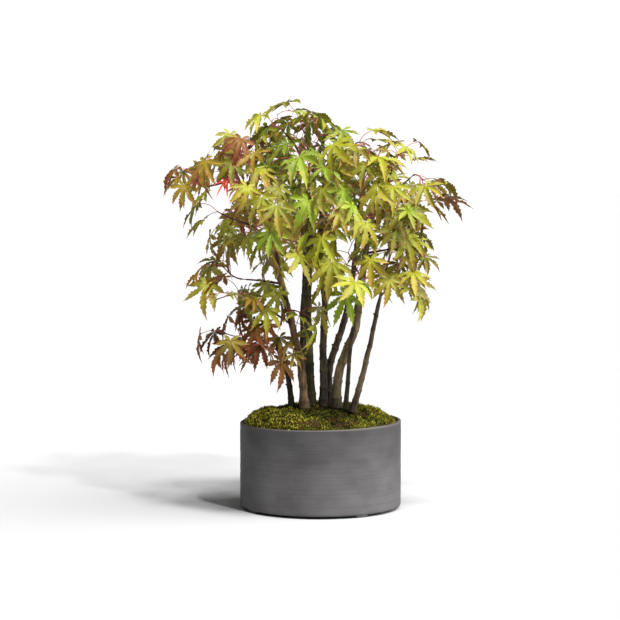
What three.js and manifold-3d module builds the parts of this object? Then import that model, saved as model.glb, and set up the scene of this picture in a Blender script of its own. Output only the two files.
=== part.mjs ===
// Clump-style Japanese maple grown as a bonsai: nine stems from one root, in a round
// straight-sided stoneware pot on four low feet, with a moss-covered mound of soil.
// Millimetres, +Z up. The origin is the centre of the pot's flat underside, +X is to the
// right and -Y is the front. The pot's feet reach a little below the origin.

import * as THREE from "three";
import { mergeVertices } from "three/addons/utils/BufferGeometryUtils.js";
import Module from "manifold-3d";

const wasm = await Module();
wasm.setup();

// ---------------------------------------------------------------- driving dimensions

const POT = {
  radius: 100, // outer
  height: 105, // from the underside to the rim
  wall: 4.5,
  floor: 7,
  corner: 2.5, // rounding at the foot of the wall
  lip: 1.6, // rounding of the rim
  rimSlope: 0.0155, // the hand-made rim stands a little higher on the right
  segments: 36,
};
const FEET = {
  count: 4,
  first: THREE.MathUtils.degToRad(-59), // from +X, so that one shows at the front right
  width: THREE.MathUtils.degToRad(9),
  outer: 98,
  inner: 86,
  height: 3,
  sunk: 3, // how far each foot is fused up into the floor
};
const MOUND = {
  radius: 94,
  foot: 101,
  rise: 24,
  brim: 99.5, // where the soil meets the pot's wall
  steps: 5,
  lump: 0.8,
  lumpPitch: 9,
};
const CLEARANCE = 0.3; // between one solid and the next
const POCKET_MARGIN = 0.5; // round each stem's foot in the soil
const POCKET_RINGS = 4; // how many rings of a stem its pocket takes in
const FOOT_DEPTH = 1.5; // how far below the moss a stem's flat cut lies

const STEM = { sides: 8, flare: 0.42, flareRun: 7, footSteps: [0.16, 0.45] };
const BOUGH = { sides: 5 };
const TIP = { radius: 1.2, slope: 0.06 }; // how every limb draws in over its last stretch
const TWIG = {
  sides: 3,
  mainRadii: [1, 0.87, 0.73, 0.6],
  sideRadii: [0.75, 0.62, 0.5],
  sunkRadii: [0.4, 0.62, 0.5], // a side twig starts thin, inside the twig that bears it
  bud: 1, // how far a twig runs past its last node
};
const STALK_RADII = [0.25, 0.55, 0.65]; // in its twig, at its knee and at the blade

// A leaf has seven lobes, given by their angle from the middle one and their length as a
// share of the leaf's own, from the base of the blade to the tip of the middle lobe.
const LOBES = [
  { angle: -124, length: 0.32 },
  { angle: -78, length: 0.62 },
  { angle: -38, length: 0.88 },
  { angle: 0, length: 1 },
  { angle: 38, length: 0.88 },
  { angle: 78, length: 0.62 },
  { angle: 124, length: 0.32 },
];
const NOTCH = 0.27; // depth of the notch between two main lobes, as a share of the length
const BASAL_NOTCH = 0.8; // the notch beside a basal lobe, as a share of the others
const THICKEST = 0.13; // where the blade is thickest, as a share of its length from its base
const BLADE_THICKNESS = 1.5; // there, thinning to the outline
const LOWEST_LEAF = 135; // no blade hangs lower than this
const TRIES = 9; // how often a leaf that finds no room is turned before it is left out

// The room that a leaf keeps free of its neighbours: shares of its span along the blade,
// and a radius round its stalk.
const BLADE_ROOM = { palm: 0.055, waist: 0.045, tip: 0.012, notch: 0.03, notchEnd: 0.025 };
const STALK_ROOM = 0.8;

const BARK = { color: 0x5b4a3a, roughness: 0.85, metalness: 0 };
const YOUNG_BARK = { color: 0x6b3a33, roughness: 0.7, metalness: 0 };
const STONEWARE = { color: 0x4b4a4b, roughness: 0.75, metalness: 0 };
const MOSS = { color: 0x55661f, roughness: 0.95, metalness: 0 };
const TINTS = {
  fresh: { color: 0x7a8a2c, roughness: 0.6, metalness: 0 },
  lime: { color: 0x96963a, roughness: 0.6, metalness: 0 },
  olive: { color: 0x8a8034, roughness: 0.6, metalness: 0 },
  bronze: { color: 0x866c36, roughness: 0.6, metalness: 0 },
  russet: { color: 0x7a4c30, roughness: 0.6, metalness: 0 },
};

// Each stem: its foot on the mound, the points it passes through and its radius at the
// foot and at the tip. A foot's height follows from the mound.
const STEMS = {
  stem_far_left: {
    foot: [-36, -5],
    route: [[-39.5, -8, 158], [-48, -12, 182], [-61.5, -20, 226]],
    thick: 3.7,
    thin: 2.0,
  },
  stem_left: {
    foot: [-20, -18],
    route: [[-24, -20, 174], [-35, -22, 226], [-51, -24, 290], [-59, -22, 366]],
    thick: 5.4,
    thin: 2.6,
  },
  stem_middle: {
    foot: [-11.5, 0],
    route: [[-14, 0, 180], [-16, 0, 250], [-14, 0, 310], [-9, 2, 414]],
    thick: 6.0,
    thin: 3.0,
  },
  stem_back_left: {
    foot: [-15, 22],
    route: [[-23, 22, 208], [-20, 27, 300], [-27, 46, 392]],
    thick: 3.5,
    thin: 2.1,
  },
  stem_upright: {
    foot: [4, -6],
    route: [[3, -6, 200], [5, -6, 250], [0, -9, 330], [6, -20, 420]],
    thick: 5.0,
    thin: 2.4,
  },
  stem_back_right: {
    foot: [10.7, 15],
    route: [[12, 17, 172], [30, 28, 228], [44, 44, 305], [50, 62, 380]],
    thick: 4.8,
    thin: 2.4,
  },
  stem_right: {
    foot: [19.5, -14],
    route: [[24, -14, 172], [44, -14, 225], [53, -14, 300], [69, -12, 385]],
    thick: 6.0,
    thin: 2.6,
  },
  stem_front_right: {
    foot: [31, -26],
    route: [[35, -28, 176], [40, -31, 225], [48, -38, 280]],
    thick: 3.0,
    thin: 1.7,
  },
  stem_far_right: {
    foot: [39, -34],
    route: [[52, -36, 168], [65, -36, 224], [75, -36, 272]],
    thick: 4.0,
    thin: 2.2,
  },
};

// Each bough leaves its stem at a height and passes through one or two points to its tip.
const BOUGHS = {
  bough_low_left: {
    stem: "stem_far_left",
    from: 160,
    route: [[-43, -14, 187], [-56, -26, 206], [-77, -42, 209]],
    thick: 1.8,
    thin: 1.1,
  },
  bough_left_level: {
    stem: "stem_left",
    from: 277,
    route: [[-75, -26, 281], [-96, -30, 283]],
    thick: 1.5,
    thin: 0.9,
  },
  bough_left_rising: {
    stem: "stem_left",
    from: 226,
    route: [[-58, -40, 243], [-86, -56, 262]],
    thick: 1.5,
    thin: 0.9,
  },
  bough_left_mid: {
    stem: "stem_left",
    from: 322,
    route: [[-80, -34, 346], [-104, -38, 356]],
    thick: 1.5,
    thin: 0.9,
  },
  bough_high_left: {
    stem: "stem_left",
    from: 345,
    route: [[-84, -34, 392], [-108, -36, 402], [-140, -36, 396]],
    thick: 2.0,
    thin: 1.2,
  },
  bough_high_left_back: {
    stem: "stem_back_left",
    from: 350,
    route: [[-60, 60, 392], [-92, 66, 412]],
    thick: 1.7,
    thin: 1.0,
  },
  bough_top_left: {
    stem: "stem_middle",
    from: 385,
    route: [[-28, -6, 440], [-46, -12, 464]],
    thick: 1.9,
    thin: 1.1,
  },
  bough_top_right: {
    stem: "stem_upright",
    from: 380,
    route: [[20, -24, 425], [42, -26, 448]],
    thick: 2.0,
    thin: 1.1,
  },
  bough_right_high: {
    stem: "stem_right",
    from: 352,
    route: [[82, -8, 400], [90, -4, 424]],
    thick: 2.0,
    thin: 1.1,
  },
  bough_right_tip: {
    stem: "stem_right",
    from: 340,
    route: [[90, -30, 388], [112, -44, 410]],
    thick: 1.6,
    thin: 0.9,
  },
  bough_right_level: {
    stem: "stem_right",
    from: 314,
    route: [[78, -20, 318], [92, -26, 321]],
    thick: 1.6,
    thin: 1.0,
  },
  bough_back: {
    stem: "stem_back_left",
    from: 300,
    route: [[-6, 62, 330], [4, 88, 350]],
    thick: 1.7,
    thin: 1.0,
  },
  bough_back_right: {
    stem: "stem_back_right",
    from: 300,
    route: [[72, 66, 330], [98, 80, 350]],
    thick: 1.8,
    thin: 1.0,
  },
  bough_front_left: {
    stem: "stem_left",
    from: 300,
    route: [[-54, -56, 336], [-50, -82, 354]],
    thick: 1.6,
    thin: 1.0,
  },
  bough_front: {
    stem: "stem_upright",
    from: 318,
    route: [[10, -42, 346], [18, -72, 362]],
    thick: 1.7,
    thin: 1.0,
  },
};

// Each mass of foliage grows from its own stem, which leaves a limb at its tip, at a share
// of its length or at a height, and reaches to where it aims. Forks bear side twigs, pairs
// bear leaves; the seed settles how they turn.
const MASSES = [
  {
    name: "left_tip", limb: "bough_high_left", share: 1, aim: [-152, -36, 410],
    forks: 0, pairs: 2, span: 36, droop: 65, seed: 3256, tint: "bronze",
  },
  {
    name: "left_tip_inner", limb: "bough_high_left", share: 0.62, aim: [-115, -47, 435],
    forks: 1, pairs: 1, span: 40, droop: 45, seed: 3453, tint: "bronze",
  },
  {
    name: "top_left", limb: "bough_top_left", share: 1, aim: [-69, -12, 469],
    forks: 0, pairs: 2, span: 40, droop: 35, seed: 2855, tint: "lime",
  },
  {
    name: "top", limb: "stem_middle", share: 1, aim: [-22, -5, 466],
    forks: 1, pairs: 1, span: 42, droop: 25, seed: 4748, tint: "lime",
  },
  {
    name: "top_back", limb: "stem_middle", share: 0.93, aim: [4, 31, 449],
    forks: 1, pairs: 1, span: 42, droop: 50, seed: 4896, tint: "fresh",
  },
  {
    name: "top_right", limb: "bough_top_right", share: 1, aim: [60, -26, 446],
    forks: 0, pairs: 2, span: 42, droop: 30, seed: 1958, tint: "olive",
  },
  {
    name: "right_high", limb: "bough_right_high", share: 1, aim: [103, 1, 440],
    forks: 0, pairs: 2, span: 32, droop: 15, seed: 7030, tint: "olive",
  },
  {
    name: "right_tip", limb: "bough_right_tip", share: 1, aim: [124, -48, 405],
    forks: 0, pairs: 1, span: 45, droop: 30, seed: 7306, tint: "olive",
  },
  {
    name: "right_mid", limb: "stem_far_right", share: 1, aim: [98, -22, 350],
    forks: 1, pairs: 1, span: 38, droop: 50, seed: 9, tint: "lime",
  },
  {
    name: "right_low_tip", limb: "bough_right_level", share: 1, aim: [114, -30, 322],
    forks: 0, pairs: 2, span: 34, droop: 25, seed: 8657, tint: "olive",
  },
  {
    name: "right_low", limb: "stem_far_right", share: 0.93, aim: [97, -51, 287],
    forks: 1, pairs: 1, span: 39, droop: 50, seed: 5781, tint: "olive",
  },
  {
    name: "centre_low_right", limb: "stem_front_right", share: 1, aim: [32, -63, 302],
    forks: 1, pairs: 1, span: 44, droop: 60, seed: 5207, tint: "lime",
  },
  {
    name: "centre_star", limb: "stem_left", height: 244, aim: [-25, -42, 243],
    forks: 0, pairs: 0, span: 46, droop: 60, seed: 8333, tint: "lime",
  },
  {
    name: "front_mid", limb: "bough_front", share: 1, aim: [14, -92, 360],
    forks: 1, pairs: 1, span: 42, droop: 70, seed: 4023, tint: "lime",
  },
  {
    name: "front_left", limb: "bough_front_left", share: 1, aim: [-54, -100, 344],
    forks: 1, pairs: 1, span: 43, droop: 65, seed: 9773, tint: "lime",
  },
  {
    name: "left_mid", limb: "bough_left_mid", share: 1, aim: [-126, -35, 366],
    forks: 0, pairs: 2, span: 40, droop: 65, seed: 6793, tint: "olive",
  },
  {
    name: "left_mid_inner", limb: "bough_left_mid", share: 0.6, aim: [-90, -61, 336],
    forks: 0, pairs: 2, span: 40, droop: 60, seed: 9285, tint: "olive",
  },
  {
    name: "left_level", limb: "bough_left_level", share: 1, aim: [-120, -34, 300],
    forks: 0, pairs: 2, span: 40, droop: 60, seed: 5340, tint: "bronze",
  },
  {
    name: "left_low_mid", limb: "bough_left_rising", share: 1, aim: [-127, -61, 260],
    forks: 0, pairs: 2, span: 38, droop: 50, seed: 6375, tint: "bronze",
  },
  {
    name: "left_low_inner", limb: "stem_far_left", share: 1, aim: [-74, -41, 255],
    forks: 1, pairs: 1, span: 40, droop: 60, seed: 6209, tint: "olive",
  },
  {
    name: "left_low_tip", limb: "bough_low_left", share: 1, aim: [-118, -44, 218],
    forks: 0, pairs: 2, span: 38, droop: 60, seed: 6310, tint: "russet",
  },
  {
    name: "left_low_hang", limb: "bough_low_left", share: 0.8, aim: [-89, -66, 216],
    forks: 0, pairs: 1, span: 34, droop: 75, seed: 446, tint: "russet",
  },
  {
    name: "left_low_red", limb: "stem_far_left", height: 188, aim: [-60, -31, 201],
    forks: 0, pairs: 1, span: 38, droop: 50, seed: 4623, tint: "russet",
  },
  {
    name: "crown_front_left", limb: "bough_front_left", share: 0.55, aim: [-75, -84, 380],
    forks: 1, pairs: 1, span: 42, droop: 40, seed: 8901, tint: "olive",
  },
  {
    name: "crown_front_right", limb: "stem_right", height: 352, aim: [55, -66, 368],
    forks: 1, pairs: 1, span: 44, droop: 45, seed: 7233, tint: "lime",
  },
  {
    name: "crown_front_mid", limb: "stem_middle", height: 396, aim: [-20, -48, 424],
    forks: 1, pairs: 1, span: 42, droop: 45, seed: 1541, tint: "fresh",
  },
  {
    name: "crown_mid_right", limb: "stem_right", share: 1, aim: [98, -37, 405],
    forks: 1, pairs: 1, span: 42, droop: 40, seed: 6111, tint: "fresh",
  },
  {
    name: "back_left_high", limb: "bough_high_left_back", share: 1, aim: [-116, 73, 423],
    forks: 1, pairs: 1, span: 38, droop: 55, seed: 720, tint: "bronze",
  },
  {
    name: "back_left", limb: "stem_back_left", height: 320, aim: [-70, 81, 335],
    forks: 1, pairs: 1, span: 42, droop: 55, seed: 4324, tint: "olive",
  },
  {
    name: "back_mid", limb: "bough_back", share: 1, aim: [2, 116, 346],
    forks: 1, pairs: 1, span: 42, droop: 35, seed: 4172, tint: "fresh",
  },
  {
    name: "back_top", limb: "stem_back_left", share: 1, aim: [-37, 75, 428],
    forks: 1, pairs: 1, span: 42, droop: 40, seed: 6781, tint: "olive",
  },
  {
    name: "back_right", limb: "bough_back_right", share: 1, aim: [108, 88, 349],
    forks: 1, pairs: 1, span: 38, droop: 70, seed: 2275, tint: "olive",
  },
  {
    name: "back_right_high", limb: "stem_back_right", share: 1, aim: [60, 80, 418],
    forks: 1, pairs: 1, span: 42, droop: 40, seed: 33, tint: "lime",
  },
];

// ---------------------------------------------------------------- small vector helpers

const UP = new THREE.Vector3(0, 0, 1);
const vec = (x, y, z) => new THREE.Vector3(x, y, z);
const between = (a, b, t) => a + (b - a) * t;
const midway = (a, b, t) => a.clone().lerp(b, t);
const heading = (from, to) => to.clone().sub(from).normalize();

// The sum of vectors, each given with its factor.
function blend(...terms) {
  const total = vec(0, 0, 0);
  for (const [vector, factor] of terms) total.addScaledVector(vector, factor);
  return total;
}

// Two directions square to a given one and to each other.
function across(direction) {
  const first = vec(0, 0, 0).crossVectors(direction, UP);
  if (first.lengthSq() < 1e-3) first.set(1, 0, 0);
  first.normalize();
  return [first, vec(0, 0, 0).crossVectors(first, direction)];
}

// A repeatable run of numbers between 0 and 1.
class Draws {
  constructor(seed) {
    this.state = (seed * 7919 + 17) % 2147483647;
    for (let warmUp = 0; warmUp < 3; warmUp += 1) this.next();
  }

  next() {
    this.state = (this.state * 48271) % 2147483647;
    return this.state / 2147483647;
  }

  between(low, high) {
    return between(low, high, this.next());
  }
}

// ---------------------------------------------------------------- room between the pieces

// The room already taken is a list of capsules: a line from one point to another, with a
// radius at each end and the name of the piece it belongs to.
function capsule(from, to, startRadius, endRadius) {
  const reach = from.distanceTo(to) / 2 + Math.max(startRadius, endRadius);
  return { from, to, startRadius, endRadius, centre: midway(from, to, 0.5), reach };
}

function chain(points, radii) {
  return points
    .slice(1)
    .map((point, index) => capsule(points[index], point, radii[index], radii[index + 1]));
}

// How far apart two capsules' surfaces are, where their middle lines pass closest.
function gapBetween(one, other) {
  const along = one.to.clone().sub(one.from);
  const beside = other.to.clone().sub(other.from);
  const offset = one.from.clone().sub(other.from);
  const a = along.lengthSq();
  const e = beside.lengthSq();
  const f = beside.dot(offset);
  const c = along.dot(offset);
  const b = along.dot(beside);
  const spread = a * e - b * b;
  let s = spread > 1e-9 ? THREE.MathUtils.clamp((b * f - c * e) / spread, 0, 1) : 0;
  let t = (b * s + f) / e;
  if (t < 0) s = THREE.MathUtils.clamp(-c / a, 0, 1);
  if (t > 1) s = THREE.MathUtils.clamp((b - c) / a, 0, 1);
  t = THREE.MathUtils.clamp(t, 0, 1);
  const distance = blend([offset, 1], [along, s], [beside, -t]).length();
  const thickness = between(one.startRadius, one.endRadius, s)
    + between(other.startRadius, other.endRadius, t);
  return distance - thickness;
}

// Whether two capsules keep their distance, settled by the balls round them where it can be.
function areApart(one, other) {
  const far = one.reach + other.reach + CLEARANCE;
  if (one.centre.distanceToSquared(other.centre) > far * far) return true;
  return gapBetween(one, other) > CLEARANCE;
}

class Room {
  taken = [];

  add(capsules, owner) {
    for (const item of capsules) this.taken.push({ ...item, owner });
  }

  isClear(capsules, ignored = []) {
    return this.taken.every((other) => ignored.includes(other.owner)
      || capsules.every((item) => areApart(item, other)));
  }
}

// ---------------------------------------------------------------- limbs

const moundHeight = (x, y) => MOUND.foot
  + MOUND.rise * Math.sqrt(Math.max(1 - (x * x + y * y) / MOUND.radius ** 2, 0));

// A smooth run through the given points, with a few steps between each two of them.
function smoothRun(points, steps = 4) {
  const last = points.length - 1;
  const before = blend([points[0], 2], [points[1], -1]);
  const after = blend([points[last], 2], [points[last - 1], -1]);
  const padded = [before, ...points, after];
  const run = [];
  for (let span = 0; span < last; span += 1) {
    const [a, b, c, d] = padded.slice(span, span + 4);
    for (let step = 0; step < steps; step += 1) {
      const t = step / steps;
      run.push(blend(
        [a, 0.5 * (-t + 2 * t ** 2 - t ** 3)],
        [b, 0.5 * (2 - 5 * t ** 2 + 3 * t ** 3)],
        [c, 0.5 * (t + 4 * t ** 2 - 3 * t ** 3)],
        [d, 0.5 * (-(t ** 2) + t ** 3)],
      ));
    }
  }
  run.push(points[last].clone());
  return run;
}

// A stem or bough: one line that tapers from its thick end to its tip.
class Limb {
  constructor(name, points, thick, thin) {
    this.name = name;
    this.axis = smoothRun(points);
    this.runs = [0];
    for (let i = 1; i < this.axis.length; i += 1) {
      this.runs.push(this.runs[i - 1] + this.axis[i].distanceTo(this.axis[i - 1]));
    }
    this.length = this.runs.at(-1);
    this.thick = thick;
    this.thin = thin;
    this.radii = this.runs.map((run) => this.radiusAt(run));
  }

  radiusAt(run) {
    return between(this.thick, this.thin, run / this.length);
  }

  // The point and direction at a height.
  atHeight(height) {
    const i = this.axis.findIndex((point, index) => index > 0 && point.z >= height);
    const [low, high] = [this.axis[i - 1], this.axis[i]];
    return [midway(low, high, (height - low.z) / (high.z - low.z)), heading(low, high)];
  }

  // The point and direction at a share of the length.
  atShare(share) {
    const i = share < 1
      ? this.runs.findIndex((run, index) => index > 0 && run >= share * this.length)
      : this.axis.length - 1;
    const step = this.runs[i] - this.runs[i - 1];
    const t = share < 1 ? (share * this.length - this.runs[i - 1]) / step : 1;
    return [midway(this.axis[i - 1], this.axis[i], t), heading(this.axis[i - 1], this.axis[i])];
  }
}

function growLimbs() {
  const limbs = {};
  for (const [name, { foot: [x, y], route, thick, thin }] of Object.entries(STEMS)) {
    const foot = vec(x, y, moundHeight(x, y) - FOOT_DEPTH);
    limbs[name] = new Limb(name, [foot, ...route.map((p) => vec(...p))], thick, thin);
  }
  for (const [name, { stem, from, route, thick, thin }] of Object.entries(BOUGHS)) {
    const [start] = limbs[stem].atHeight(from);
    limbs[name] = new Limb(name, [start, ...route.map((p) => vec(...p))], thick, thin);
  }
  return limbs;
}

// ---------------------------------------------------------------- twigs and leaves

// A twig bends evenly from its start, past a guide point, to its tip.
class Twig {
  constructor(start, guide, tip, radii) {
    this.pieces = radii.length - 1;
    this.radii = radii;
    this.points = radii.map((_, index) => {
      const t = index / this.pieces;
      return blend([start, (1 - t) ** 2], [guide, 2 * t * (1 - t)], [tip, t * t]);
    });
  }

  at(share) {
    const i = Math.min(Math.floor(share * this.pieces), this.pieces - 1);
    const [from, to] = [this.points[i], this.points[i + 1]];
    return [midway(from, to, share * this.pieces - i), heading(from, to)];
  }
}

// One leaf: a bent stalk from a twig's node to the base of a star-shaped blade.
class Leaf {
  constructor(node, knee, base, middle, normal, span, curl) {
    Object.assign(this, { node, knee, base, middle, normal, span, curl });
    this.side = vec(0, 0, 0).crossVectors(normal, middle);
  }

  // A point of the blade, by its angle from the middle lobe and its share of the span.
  point(degrees, share) {
    const angle = THREE.MathUtils.degToRad(degrees);
    return blend(
      [this.base, 1],
      [this.middle, this.span * share * Math.cos(angle)],
      [this.side, this.span * share * Math.sin(angle)],
      [this.normal, -this.span * this.curl * share ** 2],
    );
  }

  // The capsules that the blade takes up: two on each lobe, one to each notch.
  bladeRoom() {
    const found = [];
    for (const { angle, length } of LOBES) {
      const narrow = Math.abs(angle) > 90 ? 0.5 : 1;
      const middle = this.point(angle, length / 2);
      const waist = BLADE_ROOM.waist * this.span * narrow;
      found.push(capsule(this.base, middle, BLADE_ROOM.palm * this.span, waist));
      found.push(capsule(middle, this.point(angle, length), waist, BLADE_ROOM.tip * this.span));
    }
    for (const notch of this.notches()) {
      const [near, far] = [BLADE_ROOM.notch * this.span, BLADE_ROOM.notchEnd * this.span];
      found.push(capsule(this.base, notch, near, far));
    }
    return found;
  }

  notches() {
    return LOBES.slice(1).map(({ angle }, index) => {
      const middle = (angle + LOBES[index].angle) / 2;
      return this.point(middle, NOTCH * (Math.abs(middle) > 90 ? BASAL_NOTCH : 1));
    });
  }

  // The stalk in three stretches, the first of them next to its own twig.
  stalkRoom() {
    const quarter = midway(this.node, this.knee, 0.5);
    const points = [this.node, quarter, this.knee, this.base];
    return chain(points, points.map(() => STALK_ROOM));
  }

  // The tips and notches of the five main lobes, from one side round to the other.
  outline() {
    const tips = LOBES.map(({ angle, length }) => this.point(angle, length));
    const points = this.notches().flatMap((notch, index) => [notch, tips[index + 1]]);
    return points.slice(1, -2);
  }
}

// Draws a leaf at a node until it finds room, or gives it up.
function growLeaf(draws, { node, along, aside }, { name, span, droop }, room) {
  for (let attempt = 0; attempt < TRIES; attempt += 1) {
    const size = span * draws.between(0.82, 1.12);
    const stalk = size * draws.between(0.55, 0.95);
    const lift = draws.between(-0.15, 0.35);
    const yaw = draws.between(-0.5, 0.5);
    const roll = draws.between(-0.6, 0.6);
    const hang = THREE.MathUtils.degToRad(droop + draws.between(-28, 28));
    const curl = draws.between(0.1, 0.32);
    const rising = blend([along, 0.55], [aside, 0.8], [UP, lift]).normalize();
    const falling = blend([rising, 1], [UP, -0.45]).normalize();
    const knee = blend([node, 1], [rising, stalk / 2]);
    const base = blend([knee, 1], [falling, stalk / 2]);
    const level = vec(falling.x, falling.y, 0);
    if (level.lengthSq() < 0.01) level.set(aside.x + 1e-3, aside.y, 0);
    level.normalize().applyAxisAngle(UP, yaw);
    const middle = blend([level, Math.cos(hang)], [UP, -Math.sin(hang)]);
    const flat = blend([level, Math.sin(hang)], [UP, Math.cos(hang)]);
    const side = vec(0, 0, 0).crossVectors(flat, middle);
    const normal = blend([flat, Math.cos(roll)], [side, Math.sin(roll)]);
    const leaf = new Leaf(node, knee, base, middle, normal, size, curl);
    const blade = leaf.bladeRoom();
    const [root, ...stalkRest] = leaf.stalkRoom();
    const high = blade.every(({ from, to }) => Math.min(from.z, to.z) >= LOWEST_LEAF);
    const own = [name, `${name} twigs`, `${name} roots`];
    if (high && room.isClear([...blade, ...stalkRest]) && room.isClear([root], own)) {
      room.add([...blade, ...stalkRest], name);
      room.add([root], `${name} roots`);
      return leaf;
    }
  }
  return null;
}

// The mass's own stem: from its bough's tip or the side of a limb to where it aims.
function growMainTwig(mass, limbs, room) {
  const limb = limbs[mass.limb];
  const fromTip = mass.share === 1;
  const [start, direction] = mass.height ? limb.atHeight(mass.height) : limb.atShare(mass.share);
  const aim = vec(...mass.aim);
  const reach = aim.distanceTo(start);
  const outward = blend([heading(start, aim), 1], [UP, 0.2]).normalize();
  const guide = fromTip
    ? blend([start, 1], [direction, 0.45 * reach])
    : blend([start, 1], [outward, 0.5 * reach]);
  const twig = new Twig(start, guide, aim, TWIG.mainRadii);
  room.add(chain(twig.points, twig.radii), `${mass.name} twigs`);
  return { mass, draws: new Draws(mass.seed), twig, reach, direction, fromTip, sides: [] };
}

// Side twigs in pairs, each pair turned a quarter from the last, and a list of the nodes
// that bear leaves. A side twig that finds no room is left out with its leaves.
function growSideTwigs(growth, room) {
  const { mass, draws, twig, reach } = growth;
  const owner = `${mass.name} twigs`;
  const steps = mass.forks + mass.pairs + 1;
  const firstTurn = draws.between(0, Math.PI);
  growth.buds = [];
  for (let step = 0; step < steps; step += 1) {
    const last = step === steps - 1;
    const [node, along] = twig.at(last ? 1 : 0.35 + (0.65 * step) / steps);
    const turn = firstTurn + (step * Math.PI) / 2 + draws.between(-0.3, 0.3);
    const [first, second] = across(along);
    const aside = blend([first, Math.cos(turn)], [second, Math.sin(turn)]);
    if (step >= mass.forks) {
      growth.buds.push({ node, along, aside });
      growth.buds.push({ node, along, aside: aside.clone().negate() });
      if (last && draws.next() < 0.7) growth.buds.push({ node, along, aside: along });
      continue;
    }
    for (const sign of [1, -1]) {
      const outward = blend([along, 0.75], [aside, 0.75 * sign], [UP, 0.1]).normalize();
      const length = reach * draws.between(0.45, 0.6) + 10;
      const endsInLeaf = draws.next() < 0.6;
      const end = blend([node, 1], [outward, length]);
      const guide = blend([node, 1], [outward, length / 2], [UP, 0.06 * length]);
      const side = new Twig(node, guide, end, TWIG.sideRadii);
      const taken = chain(side.points, side.radii);
      taken[0] = capsule(midway(node, side.points[1], 0.3), side.points[1], ...TWIG.sideRadii);
      if (!room.isClear(taken)) continue;
      room.add(taken, owner);
      growth.sides.push(side);
      const [left, right] = across(outward);
      const fan = blend([left, Math.cos(turn + 1.2)], [right, Math.sin(turn + 1.2)]);
      growth.buds.push({ node: end, along: outward, aside: fan });
      growth.buds.push({ node: end, along: outward, aside: fan.clone().negate() });
      if (endsInLeaf) growth.buds.push({ node: end, along: outward, aside: outward });
    }
  }
}

// All masses grow together: first their stems, then the side twigs, then the leaves.
function growMasses(limbs) {
  const room = new Room();
  for (const limb of Object.values(limbs)) {
    room.add(chain(limb.axis, limb.radii.map((radius) => radius + CLEARANCE)), limb.name);
  }
  const growths = MASSES.map((mass) => growMainTwig(mass, limbs, room));
  for (const growth of growths) growSideTwigs(growth, room);
  for (const growth of growths) {
    growth.leaves = growth.buds
      .map((bud) => growLeaf(growth.draws, bud, growth.mass, room))
      .filter(Boolean);
  }
  return growths;
}

// ---------------------------------------------------------------- closed solids

function solidOf(points, triangles) {
  return new wasm.Manifold(new wasm.Mesh({
    numProp: 3,
    vertProperties: new Float32Array(points.flatMap((point) => point.toArray())),
    triVerts: new Uint32Array(triangles.flat()),
  }));
}

// A three.js geometry as a solid: its corners merged, its slivers of no area dropped.
function solidOfGeometry(geometry, reshape = (point) => point) {
  geometry.deleteAttribute("uv");
  geometry.deleteAttribute("normal");
  const merged = mergeVertices(geometry, 1e-3);
  const corners = merged.attributes.position;
  const points = Array.from({ length: corners.count }, (_, index) => (
    reshape(vec(0, 0, 0).fromBufferAttribute(corners, index))));
  const index = Array.from(merged.index.array);
  const triangles = [];
  for (let i = 0; i < index.length; i += 3) {
    const [a, b, c] = index.slice(i, i + 3);
    if (a !== b && b !== c && c !== a) triangles.push([a, b, c]);
  }
  return solidOf(points, triangles);
}

// The side faces of a rod whose rings of corners follow one another.
function sideFaces(rings, sides) {
  const triangles = [];
  for (let ring = 0; ring < rings - 1; ring += 1) {
    for (let k = 0; k < sides; k += 1) {
      const [a, b] = [ring * sides + k, ring * sides + ((k + 1) % sides)];
      triangles.push([a, b, b + sides], [a, b + sides, a + sides]);
    }
  }
  return triangles;
}

// A many-sided rod along a line of points, with a radius at each and flat ends.
function rod(points, radii, sides, { startNormal, grow = 0 } = {}) {
  const last = points.length - 1;
  const wider = grow / Math.cos(Math.PI / sides);
  const normals = points.map((_, i) => (
    blend([points[Math.min(i + 1, last)], 1], [points[Math.max(i - 1, 0)], -1]).normalize()));
  if (startNormal) normals[0] = startNormal.clone();
  const line = points.map((point) => point.clone());
  line[0].addScaledVector(normals[0], -grow);
  line[last].addScaledVector(normals[last], grow);
  const corners = [];
  let first = across(normals[0])[0];
  for (let i = 0; i <= last; i += 1) {
    first = blend([first, 1], [normals[i], -first.dot(normals[i])]).normalize();
    const second = vec(0, 0, 0).crossVectors(normals[i], first);
    for (let k = 0; k < sides; k += 1) {
      const angle = (2 * Math.PI * k) / sides;
      const radius = radii[i] + wider;
      corners.push(blend(
        [line[i], 1],
        [first, radius * Math.cos(angle)],
        [second, radius * Math.sin(angle)],
      ));
    }
  }
  const triangles = sideFaces(points.length, sides);
  const end = last * sides;
  for (let k = 1; k < sides - 1; k += 1) {
    triangles.push([0, k + 1, k], [end, end + k, end + k + 1]);
  }
  return solidOf(corners, triangles);
}

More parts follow.
